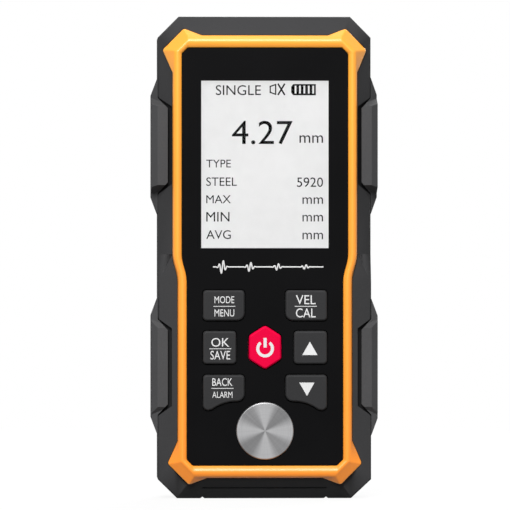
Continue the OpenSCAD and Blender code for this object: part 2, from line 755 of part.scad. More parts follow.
module rear_housing() {
    color(housing_grey) difference() {
        union() {
            difference() {
                rear_solid();
                rear_cavity();
            }
            block([-bay_x - bay_wall, bay_floor_y - bay_base_t, bay_low_z - bay_wall],
                [bay_x + bay_wall, back_y - back_skin, bay_high_z + bay_wall]);
            intersection() {
                hinge_bar(door_bead_r + door_gap + hinge_boss_w, hinge_boss_x);
                block([-neck_x, split_y, 0], [neck_x, back_y - back_skin, body_length]);
            }
            for (p = screw_places) peg(p, rear_boss_r, split_y, back_y - wall / 2);
            block([-socket_pitch / 2 - flange_r - socket_margin, socket_block_y, socket_block_z],
                [socket_pitch / 2 + flange_r + socket_margin, back_y - back_bevel, body_length - wall / 2]);
        }
        block([-bay_x, bay_floor_y, bay_low_z], [bay_x, back_y + beyond, bay_high_z]);
        plate(inset(door_ring, -door_gap), door_in_y - door_bed, back_y + beyond);
        hinge_bar(door_bead_r + door_gap, door_x + door_gap);
        block([-door_x - door_gap, hinge_y, hinge_z - door_bead_r - door_gap],
            [door_x + door_gap, back_y + beyond, hinge_z + door_bead_r / 2]);
        hinge_bar(door_pin_r + pin_gap, door_x + pin_length + pin_end_gap);
        translate([0, scoop_y, door_top_z + door_gap]) intersection() {
            sphere(r = scoop_r);
            block([-scoop_r, -scoop_r, 0], [scoop_r, scoop_r, scoop_r]);
        }
        plate(recess_ring, back_y - recess_depth, back_y + beyond);
        for (p = screw_places) {
            peg(p, screw_head_r + screw_gap, screw_head_y, back_y + beyond);
            peg(p, screw_r + screw_gap, split_y - beyond, screw_head_y + screw_gap);
        }
        for (x = socket_xs) translate([x, socket_y, 0]) {
            translate([0, 0, socket_seat_z]) cylinder(h = beyond, r = flange_r + socket_gap);
            translate([0, 0, socket_block_z - beyond])
                cylinder(h = socket_wall + 2 * beyond, r = socket_barrel_r + fit_gap);
        }
        gasket_ring(fit_gap / 2);
        foot_notches();
    }
}

module bezel_frame() {
    color(frame_amber) band(concat(
        [at_depth(frame_inner, frame_seat_y)],
        [for (i = [0 : crown_steps]) let (t = i / crown_steps)
            at_depth(frame_inner * (1 - t) + frame_ridge * t,
                frame_edge_y + (front_y - frame_edge_y) * sin(180 * t))],
        [at_depth(frame_outer, rim_depths), at_depth(frame_outer, foot_depths),
         at_depth(frame_ridge, frame_seat_y)]));
}

module face_panel() {
    color(panel_black) difference() {
        plate(inset(frame_inner, fit_gap), panel_y, deck_y);
        plate(window_ring, front_y, deck_y + beyond);
        for (ring = key_rings) plate(inset(ring, -key_gap), front_y, deck_y + beyond);
        peg([0, disc_z], disc_r + fit_gap, front_y, deck_y + beyond);
    }
}

module display_window() {
    color("#dfe6ea", 0.4) union() {
        plate(inset(window_ring, fit_gap / 2), panel_y, deck_y + window_lip_t);
        plate(inset(window_ring, -window_lip), deck_y, deck_y + window_lip_t);
    }
}

module display_glass() {
    color("#ececec") plate(glass_ring, glass_y, glass_y + glass_t);
}

module display_backlight() {
    color("#d8d8d4") plate(inset(glass_ring, -backlight_rim), glass_y + glass_t, board_y);
}

module main_board() {
    color(board_green) difference() {
        union() {
            plate(box_ring(board_x, board_low_z, board_high_z), board_y, board_back_y);
            for (c = chips) block([c[0][0], board_back_y, c[0][1]], [c[1][0], board_back_y + c[2], c[1][1]]);
        }
        for (p = screw_places) peg(p, boss_r + board_relief, board_y - beyond, board_back_y + beyond);
        for (p = post_places)
            peg(p, post_screw_r + board_hole_gap, board_y - beyond, board_back_y + beyond);
    }
}

module keypad_mat() {
    color("#2c2c2e") difference() {
        plate(box_ring(key_field_w / 2 + mat_margin, bottom_row_bottom - mat_margin + 4 * mat_gap,
            top_row_z + top_key_h / 2 + mat_margin), board_y - mat_t, board_y);
        for (p = key_centres) peg(p, dome_r + mat_gap, board_y - beyond, board_y + beyond);
    }
}

module dome_switches() {
    color(steel) for (p = key_centres)
        translate([p[0], board_y, p[1]]) rotate([90, 0, 0])
            cylinder(h = dome_h, r1 = dome_r, r2 = dome_top_r);
}

// Solid through rings that are star-shaped about one centre, from the front to the back
module star_loft(rings, centre) {
    n = len(rings[0]);
    m = len(rings);
    last = (m - 1) * n;
    polyhedron(
        points = concat([for (ring = rings) each ring], [
            [centre[0], rings[0][0][1], centre[1]], [centre[0], rings[m - 1][0][1], centre[1]]]),
        faces = concat(
            [for (i = [0 : n - 1]) [i, (i + 1) % n, m * n]],
            [for (i = [0 : n - 1]) [last + (i + 1) % n, last + i, m * n + 1]],
            [for (k = [0 : m - 2]) each strip(n, k, k + 1)]));
}

// One key: bevelled cap, retaining flange under the deck and plunger
module key(ring, centre, tint) {
    top_y = panel_y - key_proud;
    color(tint) union() {
        star_loft([at_depth(inset(ring, key_bevel), top_y), at_depth(ring, top_y + key_bevel),
            at_depth(ring, flange_y + flange_t / 2)], centre);
        plate(inset(ring, -flange_out), flange_y, flange_y + flange_t);
        peg(centre, plunger_r, flange_y + flange_t / 2, plunger_y);
    }
}

module power_key() key(power_ring, power_centre, power_red);

module mode_key() key(top_key_ring, top_centre, key_grey);

module velocity_key() key(flip(top_key_ring), across(top_centre), key_grey);

module confirm_key() key(middle_key_ring, middle_centre, key_grey);

module up_key() key(flip(middle_key_ring), across(middle_centre), key_grey);

module return_key() key(bottom_key_ring, bottom_centre, key_grey);

module down_key() key(flip(bottom_key_ring), across(bottom_centre), key_grey);

module calibration_disc() {
    color(steel) translate([0, disc_y, disc_z]) rotate([-90, 0, 0]) rotate_extrude() polygon([
        [0, 0], [disc_r - disc_edge, 0], [disc_r, disc_edge],
        [disc_r, disc_t - disc_edge], [disc_r - disc_edge, disc_t], [0, disc_t]]);
}

module upper_left_grip() mirror([1, 0, 0]) grip(upper_grip_z, true);

module upper_right_grip() grip(upper_grip_z, true);

module lower_left_grip() mirror([1, 0, 0]) grip(lower_grip_z, false);

module lower_right_grip() grip(lower_grip_z, false);

module case_gasket() {
    color("#1c1c1c") gasket_ring(0);
}

module case_screws() {
    color(steel) for (p = screw_places) difference() {
        union() {
            peg(p, screw_head_r, screw_head_y, screw_head_y + screw_head_t);
            peg(p, screw_r, screw_end_y, screw_head_y + screw_head_t / 2);
        }
        for (turn = [0, 90]) translate([p[0], screw_head_y + screw_head_t, p[1]]) rotate([0, turn, 0])
            cube(screw_slot, center = true);
    }
}

module board_screws() {
    color(steel) for (p = post_places) {
        peg(p, post_head_r, board_back_y, board_back_y + post_head_t);
        peg(p, post_screw_r, post_screw_y, board_back_y + post_head_t / 2);
    }
}

module buzzer() {
    color("#222222") difference() {
        peg(buzzer_place, buzzer_r, board_back_y, board_back_y + buzzer_t);
        peg(buzzer_place, buzzer_hole_r, board_back_y + buzzer_t - buzzer_hole_depth, back_y);
    }
}

// Threaded socket shell with its flange, open at the top
module probe_socket(x) {
    color(steel) translate([x, socket_y, 0]) difference() {
        union() {
            translate([0, 0, socket_seat_z]) cylinder(h = socket_flange_t, r = flange_r);
            translate([0, 0, barrel_end_z])
                cylinder(h = socket_seat_z - barrel_end_z + socket_flange_t / 2, r = socket_barrel_r);
        }
        translate([0, 0, bore_end_z]) cylinder(h = socket_bore_depth + beyond, r = socket_bore_r);
        translate([0, 0, barrel_end_z - beyond])
            cylinder(h = insulator_t + beyond + socket_bore_depth / 2, r = insulator_r + press_gap);
    }
}

module probe_socket_left() probe_socket(socket_xs[0]);

module probe_socket_right() probe_socket(socket_xs[1]);

module socket_nuts() {
    color(steel) for (x = socket_xs) translate([x, socket_y, socket_block_z - nut_t]) difference() {
        cylinder(h = nut_t, r = flange_r + socket_gap, $fn = 6);
        translate([0, 0, -beyond]) cylinder(h = nut_t + 2 * beyond, r = socket_barrel_r + press_gap);
    }
}

module socket_insulators() {
    color("#efece2") for (x = socket_xs) translate([x, socket_y, barrel_end_z]) difference() {
        cylinder(h = insulator_t, r = insulator_r);
        translate([0, 0, -beyond]) cylinder(h = insulator_t + 2 * beyond, r = pin_r + press_gap);
    }
}

module socket_contacts() {
    color(gold) for (x = socket_xs) translate([x, socket_y, contact_end_z])
        cylinder(h = bore_end_z - contact_end_z - contact_sink, r = pin_r);
}

// Lead from a socket's contact down and round to the board
module probe_leads() {
    elbow_y = socket_y - lead_bend;
    elbow_z = contact_end_z - lead_drop;
    color("#40302a") for (x = socket_xs) translate([x, 0, 0]) union() {
        translate([0, socket_y, elbow_z]) cylinder(h = contact_end_z - elbow_z, r = lead_r);
        translate([0, elbow_y, elbow_z]) rotate([0, 90, 0]) rotate_extrude(angle = 90)
            translate([lead_bend, 0]) circle(r = lead_r);
        translate([0, elbow_y, elbow_z - lead_bend]) rotate([90, 0, 0])
            cylinder(h = elbow_y - board_back_y, r = lead_r);
    }
}

module battery_door() {
    nib_z = bay_high_z - fit_gap;
    color(housing_grey) difference() {
        union() {
            plate(door_ring, door_in_y, back_y);
            hinge_bar(door_bead_r, door_x);
            hinge_bar(door_pin_r, door_x + pin_length);
            block([-nib_x, door_in_y - nib_reach, nib_z - nib_h], [nib_x, door_in_y + door_t / 2, nib_z]);
        }
        for (x = [-tongue_x, tongue_x])
            block([x - tongue_slot / 2, door_in_y - beyond, door_top_z - tongue_h],
                [x + tongue_slot / 2, back_y + beyond, door_top_z + beyond]);
        for (i = [0 : ridge_count - 1]) let (z = ridge_top_z - ridge_pitch * i)
            block([-ridge_x, back_y - ridge_depth, z - ridge_w], [ridge_x, back_y + beyond, z]);
    }
}

// One round cell with its nub at the top or the bottom
module cell(x, nub_up) {
    low = bay_low_z + contact_t + (nub_up ? spring_h : nub_h + cell_end_gap);
    translate([x, cell_y, low + (nub_up ? 0 : cell_length)]) rotate([nub_up ? 0 : 180, 0, 0]) rotate_extrude()
        polygon([[0, 0], [cell_r - cell_edge, 0], [cell_r, cell_edge],
            [cell_r, cell_length - cell_edge], [cell_r - cell_edge, cell_length],
            [nub_r, cell_length], [nub_r, cell_length + nub_h], [0, cell_length + nub_h]]);
}

module battery_left() color("#2f6f4a") cell(-cell_pitch, true);

module battery_middle() color("#2f6f4a") cell(0, false);

module battery_right() color("#2f6f4a") cell(cell_pitch, true);

// Conical coil spring that stands on its plate
module coil(height) {
    sides = coil_sides;
    wire = coil_wire;
    rings = coil_turns * coil_steps;
    path = [for (i = [0 : rings])
        let (t = i / rings, a = 360 * coil_turns * t, r = coil_base_r + (coil_top_r - coil_base_r) * t)
        [r * cos(a), r * sin(a), wire + (height - 2 * wire) * t, a]];
    polyhedron(
        points = [for (p = path) each [for (s = [0 : sides - 1]) let (b = 360 * s / sides)
            [p[0] + wire * cos(b) * cos(p[3]), p[1] + wire * cos(b) * sin(p[3]), p[2] + wire * sin(b)]]],
        faces = concat(
            [[for (s = [sides - 1 : -1 : 0]) s]],
            [[for (s = [0 : sides - 1]) rings * sides + s]],
            [for (i = [0 : rings - 1], s = [0 : sides - 1]) let (q = (s + 1) % sides)
                [i * sides + s, i * sides + q, (i + 1) * sides + q, (i + 1) * sides + s]]));
}

// Contact plate at one end of the bay
module contact_plate(x, z) {
    block([x - contact_x, cell_y - contact_front, z], [x + contact_x, cell_y + contact_back, z + contact_t]);
}

module spring_contacts() {
    color(steel) {
        for (x = [-cell_pitch, cell_pitch]) {
            contact_plate(x, bay_low_z);
            translate([x, cell_y, bay_low_z + contact_t - contact_overlap]) coil(spring_h);
        }
        contact_plate(0, bay_high_z - contact_t);
        translate([0, cell_y, bay_high_z - contact_t + contact_overlap]) mirror([0, 0, 1]) coil(spring_h);
    }
}

module plate_contacts() {
    color(steel) {
        for (x = [-cell_pitch, cell_pitch]) contact_plate(x, bay_high_z - contact_t);
        contact_plate(0, bay_low_z);
    }
}

front_housing();
rear_housing();
bezel_frame();
face_panel();
display_window();
display_glass();
display_backlight();
main_board();
keypad_mat();
dome_switches();
power_key();
mode_key();
velocity_key();
confirm_key();
up_key();
return_key();
down_key();
calibration_disc();
upper_left_grip();
upper_right_grip();
lower_left_grip();
lower_right_grip();
case_gasket();
case_screws();
board_screws();
buzzer();
probe_socket_left();
probe_socket_right();
socket_nuts();
socket_insulators();
socket_contacts();
probe_leads();
battery_door();
battery_left();
battery_middle();
battery_right();
spring_contacts();
plate_contacts();
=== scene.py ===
"""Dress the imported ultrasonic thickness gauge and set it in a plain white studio."""

import logging
import math
from collections.abc import Callable, Sequence
from dataclasses import dataclass, field
from enum import Enum

import bmesh
import bpy
from bmesh.types import BMEdge, BMesh
from bpy.types import Material, Mesh, Node, NodeSocket, NodeTree, Object
from mathutils import Matrix, Vector


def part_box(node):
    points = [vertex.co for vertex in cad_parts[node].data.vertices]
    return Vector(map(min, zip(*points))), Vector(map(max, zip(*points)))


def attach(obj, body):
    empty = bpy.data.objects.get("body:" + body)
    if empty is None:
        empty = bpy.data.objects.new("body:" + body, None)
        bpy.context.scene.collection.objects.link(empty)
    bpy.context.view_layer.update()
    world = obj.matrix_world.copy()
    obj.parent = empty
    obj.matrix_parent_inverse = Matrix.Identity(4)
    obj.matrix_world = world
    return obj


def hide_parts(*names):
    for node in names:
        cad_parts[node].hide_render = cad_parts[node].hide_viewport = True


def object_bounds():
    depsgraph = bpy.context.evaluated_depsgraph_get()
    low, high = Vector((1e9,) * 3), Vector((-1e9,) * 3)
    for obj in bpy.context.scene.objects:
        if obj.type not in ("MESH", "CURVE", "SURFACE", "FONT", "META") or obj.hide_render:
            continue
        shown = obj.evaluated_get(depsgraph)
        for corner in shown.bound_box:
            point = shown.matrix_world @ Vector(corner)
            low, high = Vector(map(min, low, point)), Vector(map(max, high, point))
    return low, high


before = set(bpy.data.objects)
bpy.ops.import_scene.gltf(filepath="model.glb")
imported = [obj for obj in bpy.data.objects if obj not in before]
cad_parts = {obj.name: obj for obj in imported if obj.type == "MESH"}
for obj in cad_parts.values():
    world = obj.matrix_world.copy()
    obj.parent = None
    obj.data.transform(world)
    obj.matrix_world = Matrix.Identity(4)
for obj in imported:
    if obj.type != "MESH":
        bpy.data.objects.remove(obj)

CAD_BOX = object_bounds()
MM = 0.001
# The picture is square and measured in pixels, and one pixel shows so many millimetres of the front.
PICTURE_SIDE = 510
PIXEL = 0.27
CASE = "case"
EDGE_MARK = "edge"
# Marks the faces in the grooves round the grips, which painted shade darkens.
GROOVE_SHADE_MARK = "hollow"
TURN_MARK = "turn"
NUMBER_KINDS = {float: "Float", int: "Int"}
NOISE_RANGE = (0.3, 0.7)
GROWN_CREASE = 40.0
BLACK = (0.0, 0.0, 0.0)
WHITE = (1.0, 1.0, 1.0)
LOG = logging.getLogger("gauge")

Colour = tuple[float, float, float]
Point = tuple[float, float]
Box = tuple[float, float, float, float]
Place = Sequence[float]
Sockets = bpy.types.bpy_prop_collection


def linear(red: float, green: float, blue: float) -> Colour:
    """Turn an sRGB colour, as read from a screen, into the linear one that shaders use.

    Args:
        red: Red from 0 to 255.
        green: Green from 0 to 255.
        blue: Blue from 0 to 255.

    Returns:
        The linear colour, from 0 to 1.
    """
    return tuple(
        c / 12.92 if c <= 0.04045 else ((c + 0.055) / 1.055) ** 2.4
        for c in (red / 255, green / 255, blue / 255)
    )


class Graph:
    """A node tree that is filled by short calls."""

    def __init__(self, tree: NodeTree) -> None:
        """Wrap a tree that may already hold nodes."""
        self.tree = tree

    def add(self, kind: str, inputs: dict | None = None, **settings: object) -> Node:
        """Add one node, with its inputs set or linked.

        Args:
            kind: Blender's name for the node type.
            inputs: Values, or sockets to link from, by input name or index.
            **settings: Properties of the node itself.

        Returns:
            The new node.
        """
        node = self.tree.nodes.new(kind)
        for name, value in settings.items():
            setattr(node, name, value)
        for key, value in (inputs or {}).items():
            self.feed(node, key, value)
        return node

    def feed(self, node: Node, key: str | int, value: object) -> None:
        """Set or link one input of a node.

        Args:
            node: The node to feed.
            key: The input's name or index.
            value: A plain value, or the output socket to link from.
        """
        if isinstance(value, NodeSocket):
            self.tree.links.new(value, node.inputs[key])
        else:
            node.inputs[key].default_value = value

    def math(self, operation: str, a: object, b: object = 0.0) -> NodeSocket:
        """Combine two numbers or sockets by one of Blender's operations."""
        return self.add("ShaderNodeMath", {0: a, 1: b}, operation=operation).outputs[0]

    def times(self, product: object, *others: object) -> NodeSocket:
        """Multiply numbers or sockets from left to right.

        Args:
            product: The first of them.
            *others: The rest.

        Returns:
            The product's socket.
        """
        for other in others:
            product = self.math("MULTIPLY", product, other)
        return product

    def vector(self, operation: str, *values: object) -> Sockets:
        """Combine vectors by one of Blender's operations and give the node's outputs."""
        return self.add("ShaderNodeVectorMath", dict(enumerate(values)), operation=operation).outputs

    def parts(self, vector: NodeSocket) -> Sockets:
        """Split a vector into its three numbers."""
        return self.add("ShaderNodeSeparateXYZ", {0: vector}).outputs

    def mark(self, name: str) -> NodeSocket:
        """Read a number that the mesh carries on its faces."""
        return self.add("ShaderNodeAttribute", attribute_name=name).outputs["Fac"]

    def noise(self, place: NodeSocket, scale: object, detail: float) -> NodeSocket:
        """Sample soft noise at a place."""
        inputs = {"Vector": place, "Scale": scale, "Detail": detail}
        return self.add("ShaderNodeTexNoise", inputs).outputs[0]

    def spread(self, value: NodeSocket, low: float, high: float,
               start: float = 0.0, end: float = 1.0) -> NodeSocket:
        """Map a value onto another range and clamp it there.

        Args:
            value: The socket to map.
            low: Result at the start of the old range.
            high: Result at the end of the old range.
            start: Start of the old range.
            end: End of the old range.

        Returns:
            The result's socket.
        """
        return self.add("ShaderNodeMapRange", {
            "Value": value, "From Min": start, "From Max": end, "To Min": low, "To Max": high,
        }).outputs[0]

    def mix(self, share: object, a: object, b: object, blend: str = "MIX") -> NodeSocket:
        """Mix two colours.

        Args:
            share: How much of the second colour there is.
            a: The first colour.
            b: The second colour.
            blend: Blender's name for the way of mixing.

        Returns:
            The mixed colour's socket.
        """
        node = self.add("ShaderNodeMix", data_type="RGBA", blend_type=blend)
        for index, value in ((0, share), (6, a), (7, b)):
            if isinstance(value, tuple):
                value = (*value[:3], 1.0)
            self.feed(node, index, value)
        return node.outputs[2]


@dataclass(frozen=True)
class GroupPlan:
    """The name and sockets of a node group.

    An input's value is its default number, or the kind of a socket that has no default.
    """

    name: str
    kind: str
    inputs: dict[str, object]
    outputs: dict[str, str]

    def start(self) -> tuple[Graph, Sockets, Node]:
        """Make the empty group.

        Returns:
            The group's graph, the sockets of its inputs and its output node.
        """
        tree = bpy.data.node_groups.new(self.name, self.kind)
        for name, value in self.inputs.items():
            kind = NUMBER_KINDS.get(type(value), value)
            socket = tree.interface.new_socket(name, in_out="INPUT", socket_type=f"NodeSocket{kind}")
            if kind is not value:
                socket.default_value = value
        for name, kind in self.outputs.items():
            tree.interface.new_socket(name, in_out="OUTPUT", socket_type=f"NodeSocket{kind}")
        graph = Graph(tree)
        return graph, graph.add("NodeGroupInput").outputs, graph.add("NodeGroupOutput")


class Effects:
    """Shader groups that several finishes share, each built once."""

    def __init__(self) -> None:
        """Build every group."""
        self.grain = self._grain()
        self.wear = self._wear()
        self.turning_sheen = self._turning_sheen()

    @staticmethod
    def _start(name: str, numbers: dict[str, float], *outputs: str) -> tuple[Graph, Sockets, Node]:
        """Begin a group that takes a place on the surface and some numbers.

        Args:
            name: The group's name.
            numbers: Its other inputs with their defaults.
            *outputs: Its outputs, all of them numbers.

        Returns:
            The group's graph, the sockets of its inputs and its output node.
        """
        inputs = {"Vector": "Vector", **numbers}
        return GroupPlan(name, "ShaderNodeTree", inputs, dict.fromkeys(outputs, "Float")).start()

    def _grain(self) -> NodeTree:
        """Fine moulded grain over a broad, faint mottle.

        Returns:
            A group with a height for bump and a tone near 1 for colour.
        """
        graph, given, out = self._start(
            "MouldedGrain", {"Fineness": 2400.0, "Mottle": 0.06}, "Height", "Tone")
        place, fineness, mottle = given["Vector"], given["Fineness"], given["Mottle"]
        cell_share, speck_share = 0.5, 0.6
        fine = graph.noise(place, fineness, detail=3.0)
        cells = graph.add("ShaderNodeTexVoronoi", {"Vector": place, "Scale": fineness}).outputs[0]
        broad = graph.noise(place, scale=55.0, detail=4.0)
        swing = graph.times(graph.spread(broad, -1.0, 1.0, *NOISE_RANGE), mottle)
        speck = graph.times(graph.spread(fine, -1.0, 1.0, *NOISE_RANGE), graph.times(mottle, speck_share))
        graph.feed(out, "Height", graph.math("ADD", fine, graph.times(cells, cell_share)))
        graph.feed(out, "Tone", graph.math("ADD", graph.math("ADD", swing, speck), 1.0))
        return graph.tree

    def _wear(self) -> NodeTree:
        """Uneven rubbing along the edges that the mesh marks.

        Returns:
            A group with a mask from 0 to 1.
        """
        graph, given, out = self._start("EdgeWear", {"Edge": 0.0, "Amount": 0.3}, "Mask")
        patches = graph.noise(given["Vector"], scale=240.0, detail=5.0)
        rubbed = graph.spread(patches, low=0.35, high=1.0, start=0.35, end=0.65)
        graph.feed(out, "Mask", graph.times(rubbed, given["Edge"], given["Amount"]))
        return graph.tree

    def _turning_sheen(self) -> NodeTree:
        """Marks of a lathe on a flat face, fine rings, under a painted radial sheen of light and dark wedges
        that stands in for reflection.

        Returns:
            A group with a tone near 1, which carries the painted sheen, and a height for bump.
        """
        graph, given, out = self._start("TurnedFace", {"Rings": 5000.0, "Sheen": 0.35}, "Tone", "Height")
        sheen_blades, sheen_lobe_count, sheen_lobe_share = 4.0, 2.0, 0.2
        flat = graph.vector("MULTIPLY", given["Vector"], (1.0, 0.0, 1.0))[0]
        radius = graph.vector("LENGTH", flat)["Value"]
        ray = graph.vector("NORMALIZE", flat)[0]
        across, _, upward = graph.parts(ray)
        angle = graph.math("ARCTAN2", upward, across)
        # Painted reflection: a fan of light and dark wedges, bent by two lobes and streaked, stands in for
        # the metal's reflection.
        sheen_fan = graph.math("COSINE", graph.times(angle, sheen_blades))
        sheen_lobes = graph.math("SINE", graph.times(angle, sheen_lobe_count))
        sheen_streaks = graph.noise(ray, scale=14.0, detail=6.0)
        ring_inputs = {"W": graph.times(radius, given["Rings"]), "Scale": 1.0, "Detail": 3.0}
        rings = graph.add("ShaderNodeTexNoise", ring_inputs, noise_dimensions="1D").outputs[0]
        painted_sheen = graph.math("SUBTRACT", graph.spread(sheen_fan, low=-1.0, high=1.0, start=-0.7, end=0.7),
                           graph.times(sheen_lobes, sheen_lobe_share))
        painted_sheen = graph.math("ADD", painted_sheen, graph.spread(sheen_streaks, -0.2, 0.2, *NOISE_RANGE))
        tone = graph.math("ADD", graph.times(painted_sheen, given["Sheen"]),
                          graph.spread(rings, 0.95, 1.05, *NOISE_RANGE))
        graph.feed(out, "Tone", tone)
        graph.feed(out, "Height", rings)
        return graph.tree


EFFECTS = Effects()


class Surface:
    """A material under way: its graph, its shader and its object coordinates."""

    def __init__(self, name: str) -> None:
        """Make the material with a bare Principled shader.

        Args:
            name: The material's name.
        """
        self.material = bpy.data.materials.new(name)
        self.material.use_nodes = True
        self.graph = Graph(self.material.node_tree)
        self.shader = self.material.node_tree.nodes["Principled BSDF"]
        self.place = self.graph.add("ShaderNodeTexCoord").outputs["Object"]

    def group(self, tree: NodeTree, **inputs: object) -> Sockets:
        """Place a shared effect, fed by input name, and give its outputs."""
        return self.graph.add("ShaderNodeGroup", {"Vector": self.place, **inputs}, node_tree=tree).outputs

    def grain(self, fineness: float, mottle: float) -> Sockets:
        """Place the shared grain and give its outputs."""
        return self.group(EFFECTS.grain, Fineness=fineness, Mottle=mottle)

    def fix(self, **values: object) -> None:
        """Set plain values on the shader's own sockets, with _ for a space."""
        for name, value in values.items():
            self.shader.inputs[name.replace("_", " ")].default_value = value

    def feed(self, name: str, value: NodeSocket) -> None:
        """Link a value that changes over the surface to the shader."""
        self.graph.feed(self.shader, name, value)

    def toned(self, colour: object, tone: NodeSocket, name: str = "Base Color") -> None:
        """Link a colour that a tone near 1 lightens and darkens."""
        self.feed(name, self.graph.mix(1.0, colour, tone, "MULTIPLY"))

    def rough(self, tone: NodeSocket, roughness: float) -> None:
        """Link a roughness that rises and falls with a tone near 1."""
        self.feed("Roughness", self.graph.times(tone, roughness))

    def bump(self, height: NodeSocket, relief: float) -> None:
        """Raise the surface by a height, with the depth of its relief in millimetres."""
        self.feed("Normal", self.graph.add("ShaderNodeBump", {
            "Height": height, "Distance": relief * MM, "Strength": 1.0}).outputs[0])


@dataclass(frozen=True)
class Moulded:
    """A moulded plastic or rubber with grain, mottle and rubbed edges.

    Where they are given, painted shade turns it to another colour toward the foot and darkens its grooves.
    """

    name: str
    colour: Colour
    roughness: float = 0.5
    fineness: float = 2600.0
    relief: float = 0.02
    mottle: float = 0.06
    rubbed: float = 0.35
    rub_lift: float = 1.6
    rub_floor: float = 0.004
    coat: float = 0.0
    coat_roughness: float = 0.15
    specular: float = 0.5
    # The colour toward the foot: painted shade, where less light falls.
    foot: Colour | None = None
    # How strongly painted shade darkens the marked grooves toward black.
    groove_shade: float = 0.0

    def material(self) -> Material:
        """Build the material.

        Returns:
            The finished material.
        """
        surface = Surface(self.name)
        graph = surface.graph
        grain = surface.grain(self.fineness, self.mottle)
        wear = surface.group(EFFECTS.wear, Edge=graph.mark(EDGE_MARK), Amount=self.rubbed)
        colour = self.colour
        # Painted shade: the colour turns toward the foot colour lower down, where less light falls.
        if self.foot:
            height = graph.parts(surface.place)[2]
            colour = graph.mix(graph.spread(height, 0.0, 1.0, 0.0, CAD_BOX[1].z), self.foot, self.colour)
        toned = graph.mix(1.0, colour, grain["Tone"], "MULTIPLY")
        lifted = tuple(min(1.0, c * self.rub_lift + self.rub_floor) for c in self.colour)
        worn = graph.mix(wear["Mask"], toned, lifted)
        # Painted shade: the marked grooves darken toward black.
        if self.groove_shade:
            worn = graph.mix(graph.times(graph.mark(GROOVE_SHADE_MARK), self.groove_shade), worn, BLACK)
        surface.feed("Base Color", worn)
        surface.rough(grain["Tone"], self.roughness)
        surface.bump(grain["Height"], self.relief)
        surface.fix(Coat_Weight=self.coat, Coat_Roughness=self.coat_roughness,
                    Specular_IOR_Level=self.specular)
        return surface.material


@dataclass(frozen=True)
class Metal:
    """A plated or brushed metal with faint blotches."""

    name: str
    colour: Colour
    roughness: float = 0.22
    fineness: float = 1800.0
    mottle: float = 0.08
    relief: float = 0.004

    def material(self) -> Material:
        """Build the material.

        Returns:
            The finished material.
        """
        surface = Surface(self.name)
        grain = surface.grain(self.fineness, self.mottle)
        surface.toned(self.colour, grain["Tone"])
        surface.rough(grain["Tone"], self.roughness)
        surface.bump(grain["Height"], self.relief)
        surface.fix(Metallic=1.0)
        return surface.material


@dataclass(frozen=True)
class TurnedMetal:
    """A lathe-turned metal face, centred on a point of the front, with a painted radial sheen in its colour.
    """

    name: str
    colour: Colour
    centre: Point
    smooth: float = 0.34 * 0.85
    coarse: float = 0.34 * 1.15
    rings: float = 5200.0
    # Strength of the painted sheen in the colour.
    painted_sheen: float = 0.3
    relief: float = 0.006

    def material(self) -> Material:
        """Build the material.

        Returns:
            The finished material.
        """
        surface = Surface(self.name)
        graph = surface.graph
        moved = graph.add("ShaderNodeMapping", {
            "Vector": surface.place, "Location": (-self.centre[0] * MM, 0.0, -self.centre[1] * MM)})
        marks = surface.group(EFFECTS.turning_sheen, Vector=moved.outputs[0], Rings=self.rings, Sheen=self.painted_sheen)
        # The tone carries the painted sheen as well as the lathe's rings.
        surface.toned(self.colour, marks["Tone"])
        surface.feed("Roughness", graph.spread(marks["Height"], self.smooth, self.coarse, *NOISE_RANGE))
        surface.bump(marks["Height"], self.relief)
        surface.fix(Metallic=1.0)
        return surface.material


@dataclass(frozen=True)
class Clear:
    """A clear moulded window with faint smears."""

    name: str
    tint: Colour
    roughness: float = 0.03
    fineness: float = 400.0
    mottle: float = 0.5
    smear: float = 0.97
    bending: float = 1.16

    def material(self) -> Material:
        """Build the material.

        Returns:
            The finished material.
        """
        surface = Surface(self.name)
        tone = surface.grain(self.fineness, self.mottle)["Tone"]
        surface.rough(tone, self.roughness)
        smears = surface.graph.spread(tone, self.smear, 1.0, 1.0 - self.mottle, 1.0 + self.mottle)
        surface.toned(self.tint, smears)
        surface.fix(Transmission_Weight=1.0, IOR=self.bending)
        return surface.material


@dataclass(frozen=True)
class PaintedGlow:
    """A display glowing with painted light in place of lamp light, a little uneven as such displays are."""

    name: str
    glow: Colour
    strength: float = 1.0
    base: Colour = (0.05, 0.05, 0.05)
    roughness: float = 0.4
    fineness: float = 9000.0
    mottle: float = 0.012

    def material(self) -> Material:
        """Build the material.

        Returns:
            The finished material.
        """
        surface = Surface(self.name)
        tone = surface.grain(self.fineness, self.mottle)["Tone"]
        # Painted light: the glow stands in for the lamp light that the window keeps off the display.
        surface.toned(self.glow, tone, "Emission Color")
        surface.toned(self.base, tone)
        surface.fix(Emission_Strength=self.strength, Roughness=self.roughness)
        return surface.material


